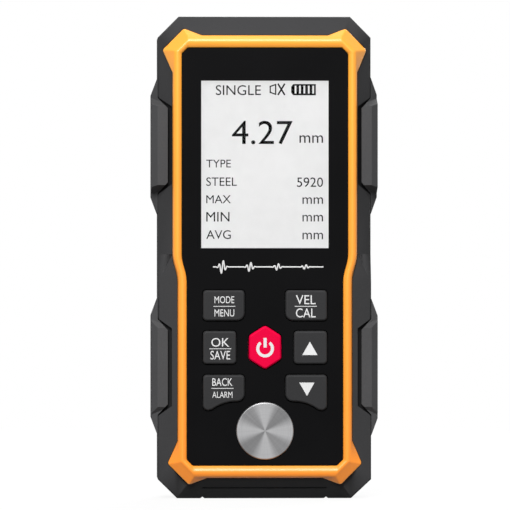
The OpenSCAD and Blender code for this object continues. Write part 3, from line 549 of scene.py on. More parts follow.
@dataclass(frozen=True)
class Sleeve:
    """A printed sleeve round a cell, with a band of a second colour and bare metal ends.

    Heights are in millimetres. A cell within the middle width lies the other way round.
    """

    name: str
    colour: Colour
    band: Colour
    metal: Colour
    low: float
    high: float
    band_top: float
    middle: float = 5.0
    roughness: float = 0.3
    coat: float = 0.4
    fineness: float = 1200.0
    mottle: float = 0.08

    def material(self) -> Material:
        """Build the material.

        Returns:
            The finished material.
        """
        surface = Surface(self.name)
        graph = surface.graph
        tone = surface.grain(self.fineness, self.mottle)["Tone"]
        across, _, upward = graph.parts(surface.place)
        turned = graph.math("LESS_THAN", graph.math("ABSOLUTE", across), self.middle * MM)
        mirrored = graph.math("SUBTRACT", (self.low + self.high) * MM, upward)
        shift = graph.times(turned, graph.math("SUBTRACT", mirrored, upward))
        height = graph.math("ADD", upward, shift)
        inside = graph.times(graph.math("GREATER_THAN", height, self.low * MM),
                             graph.math("LESS_THAN", height, self.high * MM))
        print_colour = graph.mix(graph.math("LESS_THAN", height, self.band_top * MM), self.colour, self.band)
        surface.toned(graph.mix(inside, self.metal, print_colour), tone)
        surface.feed("Metallic", graph.math("SUBTRACT", 1.0, inside))
        surface.rough(tone, self.roughness)
        surface.fix(Coat_Weight=self.coat)
        return surface.material


PRINT_INK = Moulded("print_ink", linear(206, 206, 206), roughness=0.6, fineness=7000, relief=0.004)


class Finish(Enum):
    """Every finish of the gauge, with the record's slot that it belongs to."""

    # The housing's grooves round the grips darken with painted shade.
    HOUSING = "housing", Moulded("housing_plastic", linear(58, 58, 59), roughness=0.7, relief=0.03,
                                 rubbed=0.12, specular=0.03, groove_shade=0.6)
    GRIP = "grip", Moulded("grip_rubber", linear(71, 71, 72), roughness=0.75, fineness=1900, relief=0.04,
                           rubbed=0.15, specular=0.03)
    # The amber turns darker and more orange toward the foot with painted shade.
    AMBER = "frame", Moulded("amber_plastic", linear(252, 166, 50), roughness=0.4, relief=0.008, mottle=0.03,
                             rubbed=0.4, rub_lift=1.2, coat=0.15, foot=linear(254, 146, 38))
    PANEL = "panel", Moulded("panel_film", linear(10, 10, 11), roughness=0.45, fineness=5200, relief=0.006,
                             mottle=0.1, specular=0.03)
    WINDOW = "window", Clear("window_clear", WHITE)
    # The display glows with painted light.
    DISPLAY = "display", PaintedGlow("display_light", linear(217, 217, 217))
    READOUT = "display", Moulded("readout_ink", linear(10, 10, 11), roughness=0.7, fineness=7000,
                                 relief=0.002, specular=0.02)
    BACKLIGHT = "backlight", Moulded("backlight_plastic", linear(222, 222, 216), roughness=0.6)
    BOARD = "board", Moulded("board_laminate", linear(28, 92, 56), roughness=0.4, fineness=1400, mottle=0.2)
    SEAL = "seal", Moulded("seal_rubber", linear(34, 34, 35), roughness=0.7)
    KEY = "keys", Moulded("key_rubber", linear(44, 44, 45), roughness=0.55, fineness=3600, relief=0.012,
                          specular=0.08)
    KEY_INK = "keys", PRINT_INK
    PANEL_INK = "panel", PRINT_INK
    POWER = "power", Moulded("power_key_rubber", linear(215, 2, 58), fineness=3600, relief=0.01, mottle=0.04,
                             rub_lift=1.15, specular=0.04)
    POWER_INK = "power", PRINT_INK
    # The disc's colour carries a painted radial sheen.
    DISC = "disc", TurnedMetal("turned_steel", linear(137, 137, 138), centre=(0.0, 18.4))
    PLATED = "plated", Metal("plated_steel", linear(205, 205, 206))
    BUZZER = "buzzer", Moulded("buzzer_plastic", linear(30, 30, 31), roughness=0.45)
    INSULATOR = "insulator", Moulded("insulator_plastic", linear(232, 228, 214), roughness=0.35)
    CONTACT = "contact", Metal("contact_brass", linear(214, 172, 92), roughness=0.25)
    LEAD = "lead", Moulded("lead_sheath", linear(62, 46, 40), roughness=0.45)
    CELL = "cell", Sleeve("cell_sleeve", linear(34, 36, 40), band=linear(196, 124, 60),
                          metal=linear(205, 205, 206), low=16.6, high=56.2, band_top=29.0)

    @property
    def slot(self) -> str:
        """The record's material slot."""
        return self.value[0]

    @property
    def material(self) -> Material:
        """The finish's material, built when it is first asked for."""
        look = self.value[1]
        return bpy.data.materials.get(look.name) or look.material()


def link(thing: Object) -> None:
    """Put an object into the scene."""
    bpy.context.scene.collection.objects.link(thing)


def add_piece(name: str, mesh: Mesh, finish: Finish, body: str = CASE, replaces: Sequence[str] = ()) -> None:
    """Make a finished piece of the gauge.

    Args:
        name: The piece's name.
        mesh: Its mesh, already in place.
        finish: Its finish.
        body: The body that it rides on.
        replaces: CAD nodes that it stands for.
    """
    piece = bpy.data.objects.new(name, mesh)
    link(piece)
    mesh.materials.clear()
    mesh.materials.append(finish.material)
    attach(piece, body)
    if replaces:
        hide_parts(*replaces)
    LOG.info("%s: %d faces, rides on %s", name, len(mesh.polygons), body)


def dress_node(node: str, finish: Finish) -> None:
    """Give a CAD node that stays as it is a finish of its own.

    Args:
        node: The node's name.
        finish: Its finish.
    """
    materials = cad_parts[node].data.materials
    materials.clear()
    materials.append(finish.material)
    LOG.info("%s: CAD solid in %s", node, finish.name.lower())


def evaluated_mesh(holder: Object) -> Mesh:
    """Turn an object with modifiers into a plain mesh and remove the object.

    Args:
        holder: A scratch object.

    Returns:
        The mesh that its modifiers give.
    """
    link(holder)
    graph = bpy.context.evaluated_depsgraph_get()
    mesh = bpy.data.meshes.new_from_object(holder.evaluated_get(graph), depsgraph=graph)
    bpy.data.objects.remove(holder)
    return mesh


def settled(shape: BMesh, name: str) -> Mesh:
    """Turn a shape under way into a mesh and free the shape.

    Args:
        shape: The shape.
        name: The mesh's name.

    Returns:
        The new mesh.
    """
    mesh = bpy.data.meshes.new(name)
    shape.to_mesh(mesh)
    shape.free()
    return mesh


@dataclass
class Refiner:
    """Rounds the edges of a copy of a CAD node and marks them for wear.

    Sizes are in millimetres and angles in degrees.
    """

    width: float
    segments: int = 2
    sharper_than: float = 20.0
    pick: Callable[[BMEdge], bool] = field(default=lambda edge: True)
    room: float = 0.0
    paired: bool = False
    weld: float = 0.002
    level: float = 0.6
    pair_bend: float = 25.0
    pair_skew: float = 170.0

    def mesh(self, node: str) -> Mesh:
        """Build the refined mesh of a node.

        Args:
            node: The CAD node to copy.

        Returns:
            A closed mesh with rounded, marked edges.
        """
        shape = bmesh.new()
        shape.from_mesh(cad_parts[node].data)
        bmesh.ops.remove_doubles(shape, verts=shape.verts, dist=self.weld * MM)
        if self.paired:
            bmesh.ops.join_triangles(
                shape, faces=shape.faces, angle_face_threshold=math.radians(self.pair_bend),
                angle_shape_threshold=math.radians(self.pair_skew))
        else:
            bmesh.ops.dissolve_limit(
                shape, angle_limit=math.radians(self.level), use_dissolve_boundaries=False,
                verts=shape.verts, edges=shape.edges)
        limit = math.radians(self.sharper_than)
        edges = [edge for edge in shape.edges
                 if len(edge.link_faces) == 2 and edge.calc_face_angle() > limit and self.pick(edge)
                 and self._has_room(edge)]
        mark = shape.faces.layers.float.new(EDGE_MARK)
        rounded = bmesh.ops.bevel(shape, geom=edges, offset=self.width * MM, offset_type="OFFSET",
                                  segments=self.segments, profile=0.5, affect="EDGES", clamp_overlap=True)
        for face in rounded["faces"]:
            face[mark] = 1.0
        return weighted(settled(shape, node))

    def _has_room(self, edge: BMEdge) -> bool:
        """Tell whether no short edge beside this one would hold the rounding back."""
        beside = [other for vertex in edge.verts for other in vertex.link_edges]
        return all(other.calc_length() > self.room * MM for other in beside)


def weighted(mesh: Mesh, crease: float = 38.0, weight: int = 60) -> Mesh:
    """Shade a mesh smoothly, with its large faces kept flat.

    Args:
        mesh: The mesh to shade.
        crease: Angle in degrees above which an edge stays sharp.
        weight: How much more a large face counts than a small one.

    Returns:
        A new mesh with its own normals.
    """
    mesh.shade_smooth()
    mesh.set_sharp_from_angle(angle=math.radians(crease))
    holder = bpy.data.objects.new("shading", mesh)
    shading = holder.modifiers.new("shading", "WEIGHTED_NORMAL")
    shading.keep_sharp = True
    shading.weight = weight
    return evaluated_mesh(holder)


class Trees:
    """Geometry Nodes trees, each built once with named inputs."""

    def __init__(self) -> None:
        """Build every tree."""
        self.spread = self._spread()
        self.tube = self._tube()
        self.spring = self._spring()
        self.echo = self._echo()

    @staticmethod
    def _start(name: str, **inputs: object) -> tuple[Graph, Sockets, Node]:
        """Begin a tree that takes points or a path and a material.

        Args:
            name: The tree's name.
            **inputs: Its other inputs, as in a group's plan.

        Returns:
            The graph, the sockets of its inputs and its output node.
        """
        inputs = {"Geometry": "Geometry", **inputs, "Material": "Material"}
        graph, given, out = GroupPlan(name, "GeometryNodeTree", inputs, {"Geometry": "Geometry"}).start()
        graph.tree.is_modifier = True
        return graph, given, out

    @staticmethod
    def _end(graph: Graph, given: Sockets, out: Node, made: NodeSocket) -> NodeTree:
        """Finish a tree: realize its instances and give them their material.

        Args:
            graph: The tree's graph.
            given: The sockets of its inputs.
            out: Its output node.
            made: The geometry that was made.

        Returns:
            The tree.
        """
        plain = graph.add("GeometryNodeRealizeInstances", {"Geometry": made})
        dressed = graph.add("GeometryNodeSetMaterial", {
            "Geometry": plain.outputs[0], "Material": given["Material"]})
        graph.feed(out, 0, dressed.outputs[0])
        return graph.tree

    @staticmethod
    def _rod(graph: Graph, path: NodeSocket, radius: NodeSocket, sides: object) -> NodeSocket:
        """Sweep a round section along a path.

        Args:
            graph: The tree's graph.
            path: The path's curve.
            radius: The section's radius.
            sides: The section's number of sides.

        Returns:
            The closed mesh.
        """
        section = graph.add("GeometryNodeCurvePrimitiveCircle", {"Resolution": sides, "Radius": radius})
        return graph.add("GeometryNodeCurveToMesh", {
            "Curve": path, "Profile Curve": section.outputs[0], "Fill Caps": True}).outputs[0]

    @staticmethod
    def _placed(graph: Graph, points: NodeSocket, piece: NodeSocket) -> NodeSocket:
        """Set a piece on every point, turned as the point's own mark says.

        Args:
            graph: The tree's graph.
            points: The points.
            piece: What is set on them.

        Returns:
            The instances.
        """
        turn = graph.add("GeometryNodeInputNamedAttribute", {"Name": TURN_MARK}, data_type="FLOAT_VECTOR")
        return graph.add("GeometryNodeInstanceOnPoints", {
            "Points": points, "Instance": piece, "Rotation": turn.outputs["Attribute"]}).outputs[0]

    def _spread(self) -> NodeTree:
        """One piece at every point.

        Returns:
            The tree.
        """
        graph, given, out = self._start("SpreadPieces", Piece="Object")
        piece = graph.add("GeometryNodeObjectInfo", {"Object": given["Piece"], "As Instance": True})
        made = self._placed(graph, given["Geometry"], piece.outputs["Geometry"])
        return self._end(graph, given, out, made)

    def _tube(self) -> NodeTree:
        """A round tube along every path.

        Returns:
            The tree.
        """
        graph, given, out = self._start("TubeOnPath", Radius=0.001, Sides=12)
        path = graph.add("GeometryNodeMeshToCurve", {"Mesh": given["Geometry"]})
        made = self._rod(graph, path.outputs[0], given["Radius"], given["Sides"])
        return self._end(graph, given, out, made)

    def _spring(self) -> NodeTree:
        """A tapered coil spring at every point.

        Returns:
            The tree.
        """
        graph, given, out = self._start(
            "CoilSprings", Turns=3.5, Foot=0.003, Tip=0.002, Height=0.003, Wire=0.0004)
        turn_steps, wire_sides = 32, 10
        spiral = graph.add("GeometryNodeCurveSpiral", {
            "Resolution": turn_steps, "Rotations": given["Turns"], "Start Radius": given["Foot"],
            "End Radius": given["Tip"], "Height": given["Height"]})
        coil = self._rod(graph, spiral.outputs[0], given["Wire"], wire_sides)
        return self._end(graph, given, out, self._placed(graph, given["Geometry"], coil))

    def _echo(self) -> NodeTree:
        """A printed trace of fading echoes along a path in the front plane.

        Returns:
            The tree.
        """
        echoes, middle, narrowing, fading, line_sides = 4.0, 0.34, -75.0, -0.38, 6
        graph, given, out = self._start(
            "EchoTrace", Swing=0.0015, Echoes=echoes, Waves=26.0, Line=0.0004, Steps=420)
        path = graph.add("GeometryNodeMeshToCurve", {"Mesh": given["Geometry"]})
        fine = graph.add("GeometryNodeResampleCurve", {"Curve": path.outputs[0], "Count": given["Steps"]})
        along = graph.add("GeometryNodeSplineParameter").outputs["Factor"]
        phase = graph.times(along, given["Echoes"])
        offset = graph.math("SUBTRACT", graph.math("FRACT", phase), middle)
        bell = graph.math("EXPONENT", graph.times(offset, offset, narrowing))
        fade = graph.math("EXPONENT", graph.times(graph.math("FLOOR", phase), fading))
        wave = graph.math("SINE", graph.times(offset, graph.times(given["Waves"], 2.0 * math.pi / echoes)))
        height = graph.times(graph.times(bell, fade), graph.times(wave, given["Swing"]))
        lift = graph.add("ShaderNodeCombineXYZ", {2: height})
        drawn = graph.add("GeometryNodeSetPosition", {"Geometry": fine.outputs[0], "Offset": lift.outputs[0]})
        return self._end(graph, given, out, self._rod(graph, drawn.outputs[0], given["Line"], line_sides))


TREES = Trees()


def grow(tree: NodeTree, seed: Mesh, finish: Finish, **sizes: object) -> Mesh:
    """Grow a plain mesh from points or a path.

    Args:
        tree: The Geometry Nodes tree.
        seed: The points or path that it grows from.
        finish: The finish of what grows.
        **sizes: The tree's other inputs, by name.

    Returns:
        The grown mesh, smoothly shaded.
    """
    holder = bpy.data.objects.new(tree.name, seed)
    modifier = holder.modifiers.new(tree.name, "NODES")
    modifier.node_group = tree
    values = {"Material": finish.material, **sizes}
    for item in tree.interface.items_tree:
        if item.in_out == "INPUT" and item.name in values:
            modifier[item.identifier] = values[item.name]
    mesh = evaluated_mesh(holder)
    mesh.shade_smooth()
    mesh.set_sharp_from_angle(angle=math.radians(GROWN_CREASE))
    return mesh


def seed_points(places: Sequence[Place], turns: Sequence[Place] | None = None) -> Mesh:
    """Make the points that pieces are spread on.

    Args:
        places: Places in millimetres.
        turns: A turn in radians for each place, none if left out.

    Returns:
        A mesh of loose points.
    """
    mesh = bpy.data.meshes.new("points")
    mesh.from_pydata([Vector(p) * MM for p in places], [], [])
    turn = mesh.attributes.new(TURN_MARK, "FLOAT_VECTOR", "POINT")
    for item, value in zip(turn.data, turns or [(0, 0, 0)] * len(places)):
        item.vector = value
    return mesh


def seed_path(paths: Sequence[Sequence[Place]], closed: bool = False) -> Mesh:
    """Make the edges that a tube follows.

    Args:
        paths: One list of places in millimetres for each path.
        closed: Whether each path returns to its start.

    Returns:
        A mesh of edges.
    """
    places, edges = [], []
    for path in paths:
        first = len(places)
        places += [Vector(p) * MM for p in path]
        last = len(places) - 1
        edges += [(i, i + 1) for i in range(first, last)]
        if closed:
            edges.append((last, first))
    mesh = bpy.data.meshes.new("path")
    mesh.from_pydata(places, edges, [])
    return mesh


def lathe(profile: Sequence[Point], name: str, sides: int = 32, weld: float = 0.001) -> Object:
    """Turn a profile about the Y axis.

    Args:
        profile: Radius and depth in millimetres, from the axis round to the axis.
        name: The object's name.
        sides: Number of sides.
        weld: Distance in millimetres below which points become one.

    Returns:
        A scratch object at the origin.
    """
    shape = bmesh.new()
    chain = [shape.verts.new((r * MM, y * MM, 0)) for r, y in profile]
    for a, b in zip(chain, chain[1:]):
        shape.edges.new((a, b))
    bmesh.ops.spin(shape, geom=shape.verts[:] + shape.edges[:], cent=(0, 0, 0), axis=(0, 1, 0),
                   angle=2 * math.pi, steps=sides, use_duplicate=False)
    bmesh.ops.remove_doubles(shape, verts=shape.verts, dist=weld * MM)
    bmesh.ops.recalc_face_normals(shape, faces=shape.faces)
    return bpy.data.objects.new(name, settled(shape, name))


class Align(Enum):
    """Where words sit in the width of their box."""

    LEFT = 0.0
    MIDDLE = 0.5
    RIGHT = 1.0


@dataclass
class InkSheet:
    """Printed shapes on one plane of the front, gathered into one mesh.

    Attributes:
        depth: Depth of the printed surface in millimetres.
        thick: Thickness of the ink in millimetres.
        shape: The shapes so far.
        curve_steps: Straight steps in each curve of a letter.
        raise_by: Half the thickness that letters have before they are scaled.
    """

    depth: float
    thick: float = 0.03
    shape: BMesh = field(default_factory=bmesh.new)
    curve_steps: int = 4
    raise_by: float = 0.02

    def words(self, text: str, low: Point, high: Point, align: Align = Align.MIDDLE,
              squeeze: float = 1.0, stretch: float = 1.0) -> None:
        """Print words as large as a box allows.

        Args:
            text: The words.
            low: Lower left corner of the box.
            high: Upper right corner of the box.
            align: Where the words sit in the box.
            squeeze: How far letters may be narrowed so that they stand taller.
            stretch: How far letters may be widened.
        """
        curve = bpy.data.curves.new("words", "FONT")
        curve.body = text
        curve.extrude = self.raise_by
        curve.resolution_u = self.curve_steps
        mesh = evaluated_mesh(bpy.data.objects.new("words", curve))
        xs = [v.co.x for v in mesh.vertices]
        ys = [v.co.y for v in mesh.vertices]
        width, height = max(xs) - min(xs), max(ys) - min(ys)
        room = high[0] - low[0]
        scale = min(room / width / squeeze, (high[1] - low[1]) / height)
        spread = min(room / width, scale * stretch)
        left = low[0] + (room - width * spread) * align.value
        foot = (low[1] + high[1] - height * scale) / 2
        mesh.transform(
            Matrix.Translation(Vector((left, self.depth, foot)) * MM)
            @ Matrix.Rotation(math.pi / 2, 4, "X")
            @ Matrix.Diagonal((spread * MM, scale * MM, self.thick / (2 * self.raise_by) * MM, 1.0))
            @ Matrix.Translation((-min(xs), -min(ys), 0)))
        self.shape.from_mesh(mesh)
        bpy.data.meshes.remove(mesh)

    def polygon(self, points: Sequence[Point]) -> None:
        """Print a filled outline.

        Args:
            points: Corners in millimetres, in either direction.
        """
        area = sum(a[0] * b[1] - b[0] * a[1] for a, b in zip(points, [*points[1:], points[0]]))
        ring = list(points) if area > 0 else list(points)[::-1]
        front, back = (
            [self.shape.verts.new(Vector((x, self.depth + side * self.thick / 2, z)) * MM) for x, z in ring]
            for side in (-1, 1))
        self.shape.faces.new(front)
        self.shape.faces.new(back[::-1])
        for i, _ in enumerate(ring):
            j = (i + 1) % len(ring)
            self.shape.faces.new((front[j], front[i], back[i], back[j]))

    def bar(self, low: Point, high: Point) -> None:
        """Print a filled rectangle between two corners."""
        self.polygon([low, (high[0], low[1]), high, (low[0], high[1])])

    def stroke(self, start: Point, end: Point, line: float) -> None:
        """Print a straight line with square ends.

        Args:
            start: Where it starts.
            end: Where it ends.
            line: Its width.
        """
        a, b = Vector(start), Vector(end)
        along = (b - a).normalized() * line / 2
        across = Vector((-along.y, along.x))
        corners = (a - along - across, b + along - across, b + along + across, a - along + across)
        self.polygon([tuple(c) for c in corners])

    def arc(self, centre: Point, radii: Point, angles: Point, steps: int = 40) -> None:
        """Print part of a ring.

        Args:
            centre: The ring's centre.
            radii: Outer and inner radius.
            angles: Start and end in degrees.
            steps: Number of straight steps.
        """
        start, end = angles
        turns = [math.radians(start + (end - start) * i / steps) for i in range(steps + 1)]
        outer, inner = (
            [(centre[0] + r * math.cos(t), centre[1] + r * math.sin(t)) for t in turns] for r in radii)
        for i in range(steps):
            self.polygon([outer[i], outer[i + 1], inner[i + 1], inner[i]])

    def build(self, name: str, finish: Finish, body: str = CASE) -> None:
        """Make the printed piece, which rides on a body."""
        add_piece(name, settled(self.shape, name), finish, body)


@dataclass(frozen=True)
class Screw:
    """A rounded, cross-recessed screw that points along -Y. Sizes are in millimetres.

    The dome gives shares of the head's radius, each with how far it lies below the top.
    """

    head: float = 2.5
    head_deep: float = 1.8
    dome: tuple[Point, ...] = ((0.62, 0.0), (0.9, 0.3), (1.0, 0.75))
    chamfer: float = 0.1
    shank: float = 1.25
    length: float = 15.0
    tip: float = 0.4
    tip_long: float = 0.8
    cross_long: float = 3.0
    cross_wide: float = 0.75
    cross_tall: float = 1.6

    def piece(self) -> Object:
        """Build the screw.

        Returns:
            A scratch object at the origin.
        """
        profile = [(0.0, 0.0), *((self.head * share, -drop) for share, drop in self.dome),
                   (self.head, self.chamfer - self.head_deep), (self.head - self.chamfer, -self.head_deep),
                   (self.shank, -self.head_deep), (self.shank, self.tip_long - self.length),
                   (self.tip, -self.length), (0.0, -self.length)]
        screw = lathe(profile, "screw")
        recess = bmesh.new()
        for wide, long in ((self.cross_long, self.cross_wide), (self.cross_wide, self.cross_long)):
            size = Vector((wide, self.cross_tall, long)) * MM
            bmesh.ops.create_cube(recess, size=1, matrix=Matrix.Diagonal((*size, 1)))
        cutter = bpy.data.objects.new("cross", settled(recess, "cross"))
        cut = screw.modifiers.new("cross", "BOOLEAN")
        cut.object, cut.operation, cut.solver = cutter, "DIFFERENCE", "EXACT"
        cut.use_self = True
        link(cutter)
        mesh = evaluated_mesh(screw)
        bpy.data.objects.remove(cutter)
        return bpy.data.objects.new("screw_piece", mesh)


@dataclass
class Case:
    """The two shells with their grips, seal and screws. Sizes are in millimetres.

    The bend is in degrees, and each screw's further turn in radians.
    """

    shell_round: float = 0.4
    shell_bend: float = 8.0
    shell_room: float = 1.0
    back_round: float = 0.8
    back_room: float = 1.8
    grip_round: float = 0.45
    corner_cut: float = 5.7
    corner_slack: float = 0.6
    touch: float = 0.05
    parting: float = 1.0
    half_width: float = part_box("rear_housing")[1].x
    grips: tuple[str, ...] = ("upper_left_grip", "upper_right_grip", "lower_left_grip", "lower_right_grip")
    groove: float = 1.3
    straight_back: float = 0.9999
    seal_radius: float = 0.45
    seal_cut: float = 5.3
    seal_sides: int = 12
    screw: Screw = Screw()
    screw_face: float = 6.8
    screw_turn: float = 0.35

    def outside(self, place: Vector) -> bool:
        """Tell whether a point lies on the case's outer walls or its back.

        Args:
            place: The point in metres.

        Returns:
            True on the outline seen from the front, or on the back face.
        """
        low, high = CAD_BOX
        near, cut = self.touch * MM, self.corner_cut * MM
        corner = abs(place.x) - self.half_width + cut
        return (abs(place.x) > self.half_width - near or place.z > high.z - near or place.z < low.z + near
                or place.y > high.y - near
                or corner > 0 and min(high.z - place.z, place.z) < cut - corner + self.corner_slack * MM)

    def on_outline(self, edge: BMEdge) -> bool:
        """Tell whether an edge reaches the outside of the case, away from the parting line."""
        return all(self.outside(v.co) and abs(v.co.y) > self.parting * MM for v in edge.verts)

    def build(self) -> None:
        """Build and dress the case."""
        refiner = Refiner(self.shell_round, 3, self.shell_bend, self.on_outline, self.shell_room)
        shell = refiner.mesh("front_housing")
        self._mark_groove_shade(shell)
        add_piece("front_shell", shell, Finish.HOUSING, replaces=["front_housing"])
        refiner = Refiner(self.back_round, 3, self.shell_bend, self.on_outline, self.back_room)
        back = refiner.mesh("rear_housing")
        self._flatten_back(back)
        add_piece("rear_shell", back, Finish.HOUSING, replaces=["rear_housing"])
        for node in self.grips:
            grip = Refiner(self.grip_round, segments=3, sharper_than=15.0).mesh(node)
            add_piece(f"{node}_cover", grip, Finish.GRIP, replaces=[node])
        self._seal()
        self._screws()

    def _flatten_back(self, mesh: Mesh) -> None:
        """Shade every face that looks straight backwards with its own normal.

        Args:
            mesh: The rear shell's mesh.
        """
        normals = [Vector(corner.vector) for corner in mesh.corner_normals]
        for face in mesh.polygons:
            if face.normal.y > self.straight_back:
                for corner in face.loop_indices:
                    normals[corner] = face.normal.copy()
        mesh.normals_split_custom_set(normals)

    def _mark_groove_shade(self, mesh: Mesh) -> None:
        """Mark the faces of the grooves round the grips, which painted shade darkens.

        Args:
            mesh: The front shell's mesh.
        """
        near = self.groove * MM
        boxes = [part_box(node) for node in self.grips]
        hollow = mesh.attributes.new(GROOVE_SHADE_MARK, "FLOAT", "FACE")
        for face in mesh.polygons:
            corners = [mesh.vertices[i].co for i in face.vertices]
            hollow.data[face.index].value = float(any(
                all(low.x - near < c.x < high.x + near and low.z < c.z < high.z for c in corners)
                for low, high in boxes))

    def _seal(self) -> None:
        """Lay the seal between the shells as a bead along its groove."""
        low, high = (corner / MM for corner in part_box("case_gasket"))
        inset, cut = self.seal_radius, self.seal_cut
        right, top, foot = high.x - inset, high.z - inset, low.z + inset
        ring = [(right - cut, top), (right, top - cut), (right, foot + cut), (right - cut, foot)]
        ring += [(-x, z) for x, z in ring[::-1]]
        path = seed_path([[(x, (low.y + high.y) / 2, z) for x, z in ring]], closed=True)
        mesh = grow(TREES.tube, path, Finish.SEAL, Radius=self.seal_radius * MM, Sides=self.seal_sides)
        add_piece("case_seal", mesh, Finish.SEAL, replaces=["case_gasket"])

    def _screws(self) -> None:
        """Set a screw into each corner of the back, each turned a little further."""
        low, high = (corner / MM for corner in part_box("case_screws"))
        piece = self.screw.piece()
        inset = self.screw.head
        places = [(x, self.screw_face, z) for x in (low.x + inset, high.x - inset)
                  for z in (low.z + inset, high.z - inset)]
        turns = [(0.0, self.screw_turn * i, 0.0) for i in range(len(places))]
        mesh = grow(TREES.spread, seed_points(places, turns), Finish.PLATED, Piece=piece)
        bpy.data.objects.remove(piece)
        add_piece("corner_screws", mesh, Finish.PLATED, replaces=["case_screws"])


@dataclass
class FrontFrame:
    """The amber frame with its corner claws."""

    edge_round: float = 0.22
    tilt: float = 0.1

    def on_rim(self, edge: BMEdge) -> bool:
        """Tell whether an edge parts the front of the frame from an upright wall."""
        leans = sorted(face.normal.y for face in edge.link_faces)
        return leans[0] < -self.tilt < leans[1] < self.tilt

    def build(self) -> None:
        """Build and dress the frame."""
        refiner = Refiner(self.edge_round, segments=3, sharper_than=24.0, pick=self.on_rim, paired=True)
        add_piece("amber_frame", refiner.mesh("bezel_frame"), Finish.AMBER, replaces=["bezel_frame"])


@dataclass
class Face:
    """The black panel, its printed trace and the test disc. Sizes are in millimetres."""

    panel_y: float = -14.0
    trace_low: Point = (-14.0, 60.55)
    trace_high: Point = (15.7, 64.4)
    trace_line: float = 0.2
    disc_round: float = 0.08

    def build(self) -> None:
        """Build and dress the face."""
        dress_node("face_panel", Finish.PANEL)
        mesh = Refiner(self.disc_round, sharper_than=30.0).mesh("calibration_disc")
        add_piece("test_disc", mesh, Finish.DISC, replaces=["calibration_disc"])
        (left, low), (right, high) = self.trace_low, self.trace_high
        path = seed_path([[(x, self.panel_y, (low + high) / 2) for x in (left, right)]])
        trace = grow(TREES.echo, path, Finish.PANEL_INK,
                     Line=self.trace_line * MM, Swing=(high - low) / 2 * MM)
        add_piece("echo_trace", trace, Finish.PANEL_INK)


@dataclass(frozen=True)
class Label:
    """Words of the readout in a box of the picture: left, top, right and bottom pixel."""

    text: str
    box: Box
    align: Align = Align.LEFT
    stretch: float = 1.0


@dataclass
class Display:
    """The window, the display behind it, which glows with painted light, and its readout.

    The depth and the lines are in millimetres. All other places are pixels of the picture, where centre is
    the column of the gauge's middle and foot is the row of its base.
    """

    depth: float = -12.32
    centre: float = 265.9
    foot: float = 498.2
    labels: tuple[Label, ...] = (
        Label("4.27", (233, 121, 293.7, 144.5), Align.RIGHT, 1.09),
        Label("mm", (300.5, 134, 324, 144.5), Align.RIGHT),
        Label("SINGLE", (217, 85.5, 262, 95.5)),
        Label("TYPE", (207.5, 159, 232, 168.5)),
        Label("STEEL", (207.5, 177, 238, 186.5)),
        Label("5920", (296, 177.5, 324, 187), Align.RIGHT),
        Label("MAX", (207.5, 194.5, 232, 204)),
        Label("mm", (303.5, 196.7, 324, 204.5), Align.RIGHT),
        Label("MIN", (207.5, 212, 232, 221.5)),
        Label("mm", (303.5, 214.2, 324, 222), Align.RIGHT),
        Label("AVG", (207.5, 229.8, 232, 239.3)),
        Label("mm", (303.5, 232, 324, 239.8), Align.RIGHT),
    )
    horn: tuple[Point, ...] = ((271.3, 86.8), (276.7, 84.9), (276.7, 94.6), (271.3, 92.7))
    horn_line: float = 0.34
    cross: Box = (279.4, 84.7, 285.4, 94.7)
    cross_line: float = 0.44
    nose: tuple[Point, ...] = (
        (292.2, 92.8), (294.2, 95.6), (295.7, 95.6), (295.7, 84.4), (294.2, 84.4), (292.2, 87.2))
    shell: Box = (295.7, 84.4, 316.8, 95.6)
    shell_inside: Point = (86.0, 93.8)
    cells: tuple[float, ...] = (297.4, 301.8, 306.2, 310.6, 315.0)
    cell_width: float = 2.7

    def spot(self, column: float, row: float) -> Point:
        """Turn a column and a row of the picture into a place on the display."""
        return (column - self.centre) * PIXEL, (self.foot - row) * PIXEL

    def build(self) -> None:
        """Build and dress the display."""
        dress_node("display_window", Finish.WINDOW)
        dress_node("display_glass", Finish.DISPLAY)
        dress_node("display_backlight", Finish.BACKLIGHT)
        ink = InkSheet(self.depth)
        for label in self.labels:
            left, top, right, foot = label.box
            low, high = self.spot(left, foot), self.spot(right, top)
            ink.words(label.text, low, high, label.align, stretch=label.stretch)
        self._mute(ink)
        self._battery(ink)
        ink.build("readout", Finish.READOUT)

    def _mute(self, ink: InkSheet) -> None:
        """Draw a crossed-out loudspeaker.

        Args:
            ink: The sheet to draw on.
        """
        for start, end in zip(self.horn, [*self.horn[1:], self.horn[0]]):
            ink.stroke(self.spot(*start), self.spot(*end), self.horn_line)
        left, top, right, foot = self.cross
        ink.stroke(self.spot(left, top), self.spot(right, foot), self.cross_line)
        ink.stroke(self.spot(left, foot), self.spot(right, top), self.cross_line)

    def _battery(self, ink: InkSheet) -> None:
        """Draw a full battery with its cells.

        Args:
            ink: The sheet to draw on.
        """
        ink.polygon([self.spot(*p) for p in self.nose])
        left, top, right, foot = self.shell
        under_top, over_foot = self.shell_inside
        ink.bar(self.spot(left, under_top), self.spot(right, top))
        ink.bar(self.spot(left, foot), self.spot(right, over_foot))
        for start in self.cells:
            ink.bar(self.spot(start, over_foot), self.spot(min(start + self.cell_width, right), under_top))


class Symbol(Enum):
    """What is printed on a key."""

    WORDS = "words"
    UP = "up"
    DOWN = "down"
    POWER = "power"


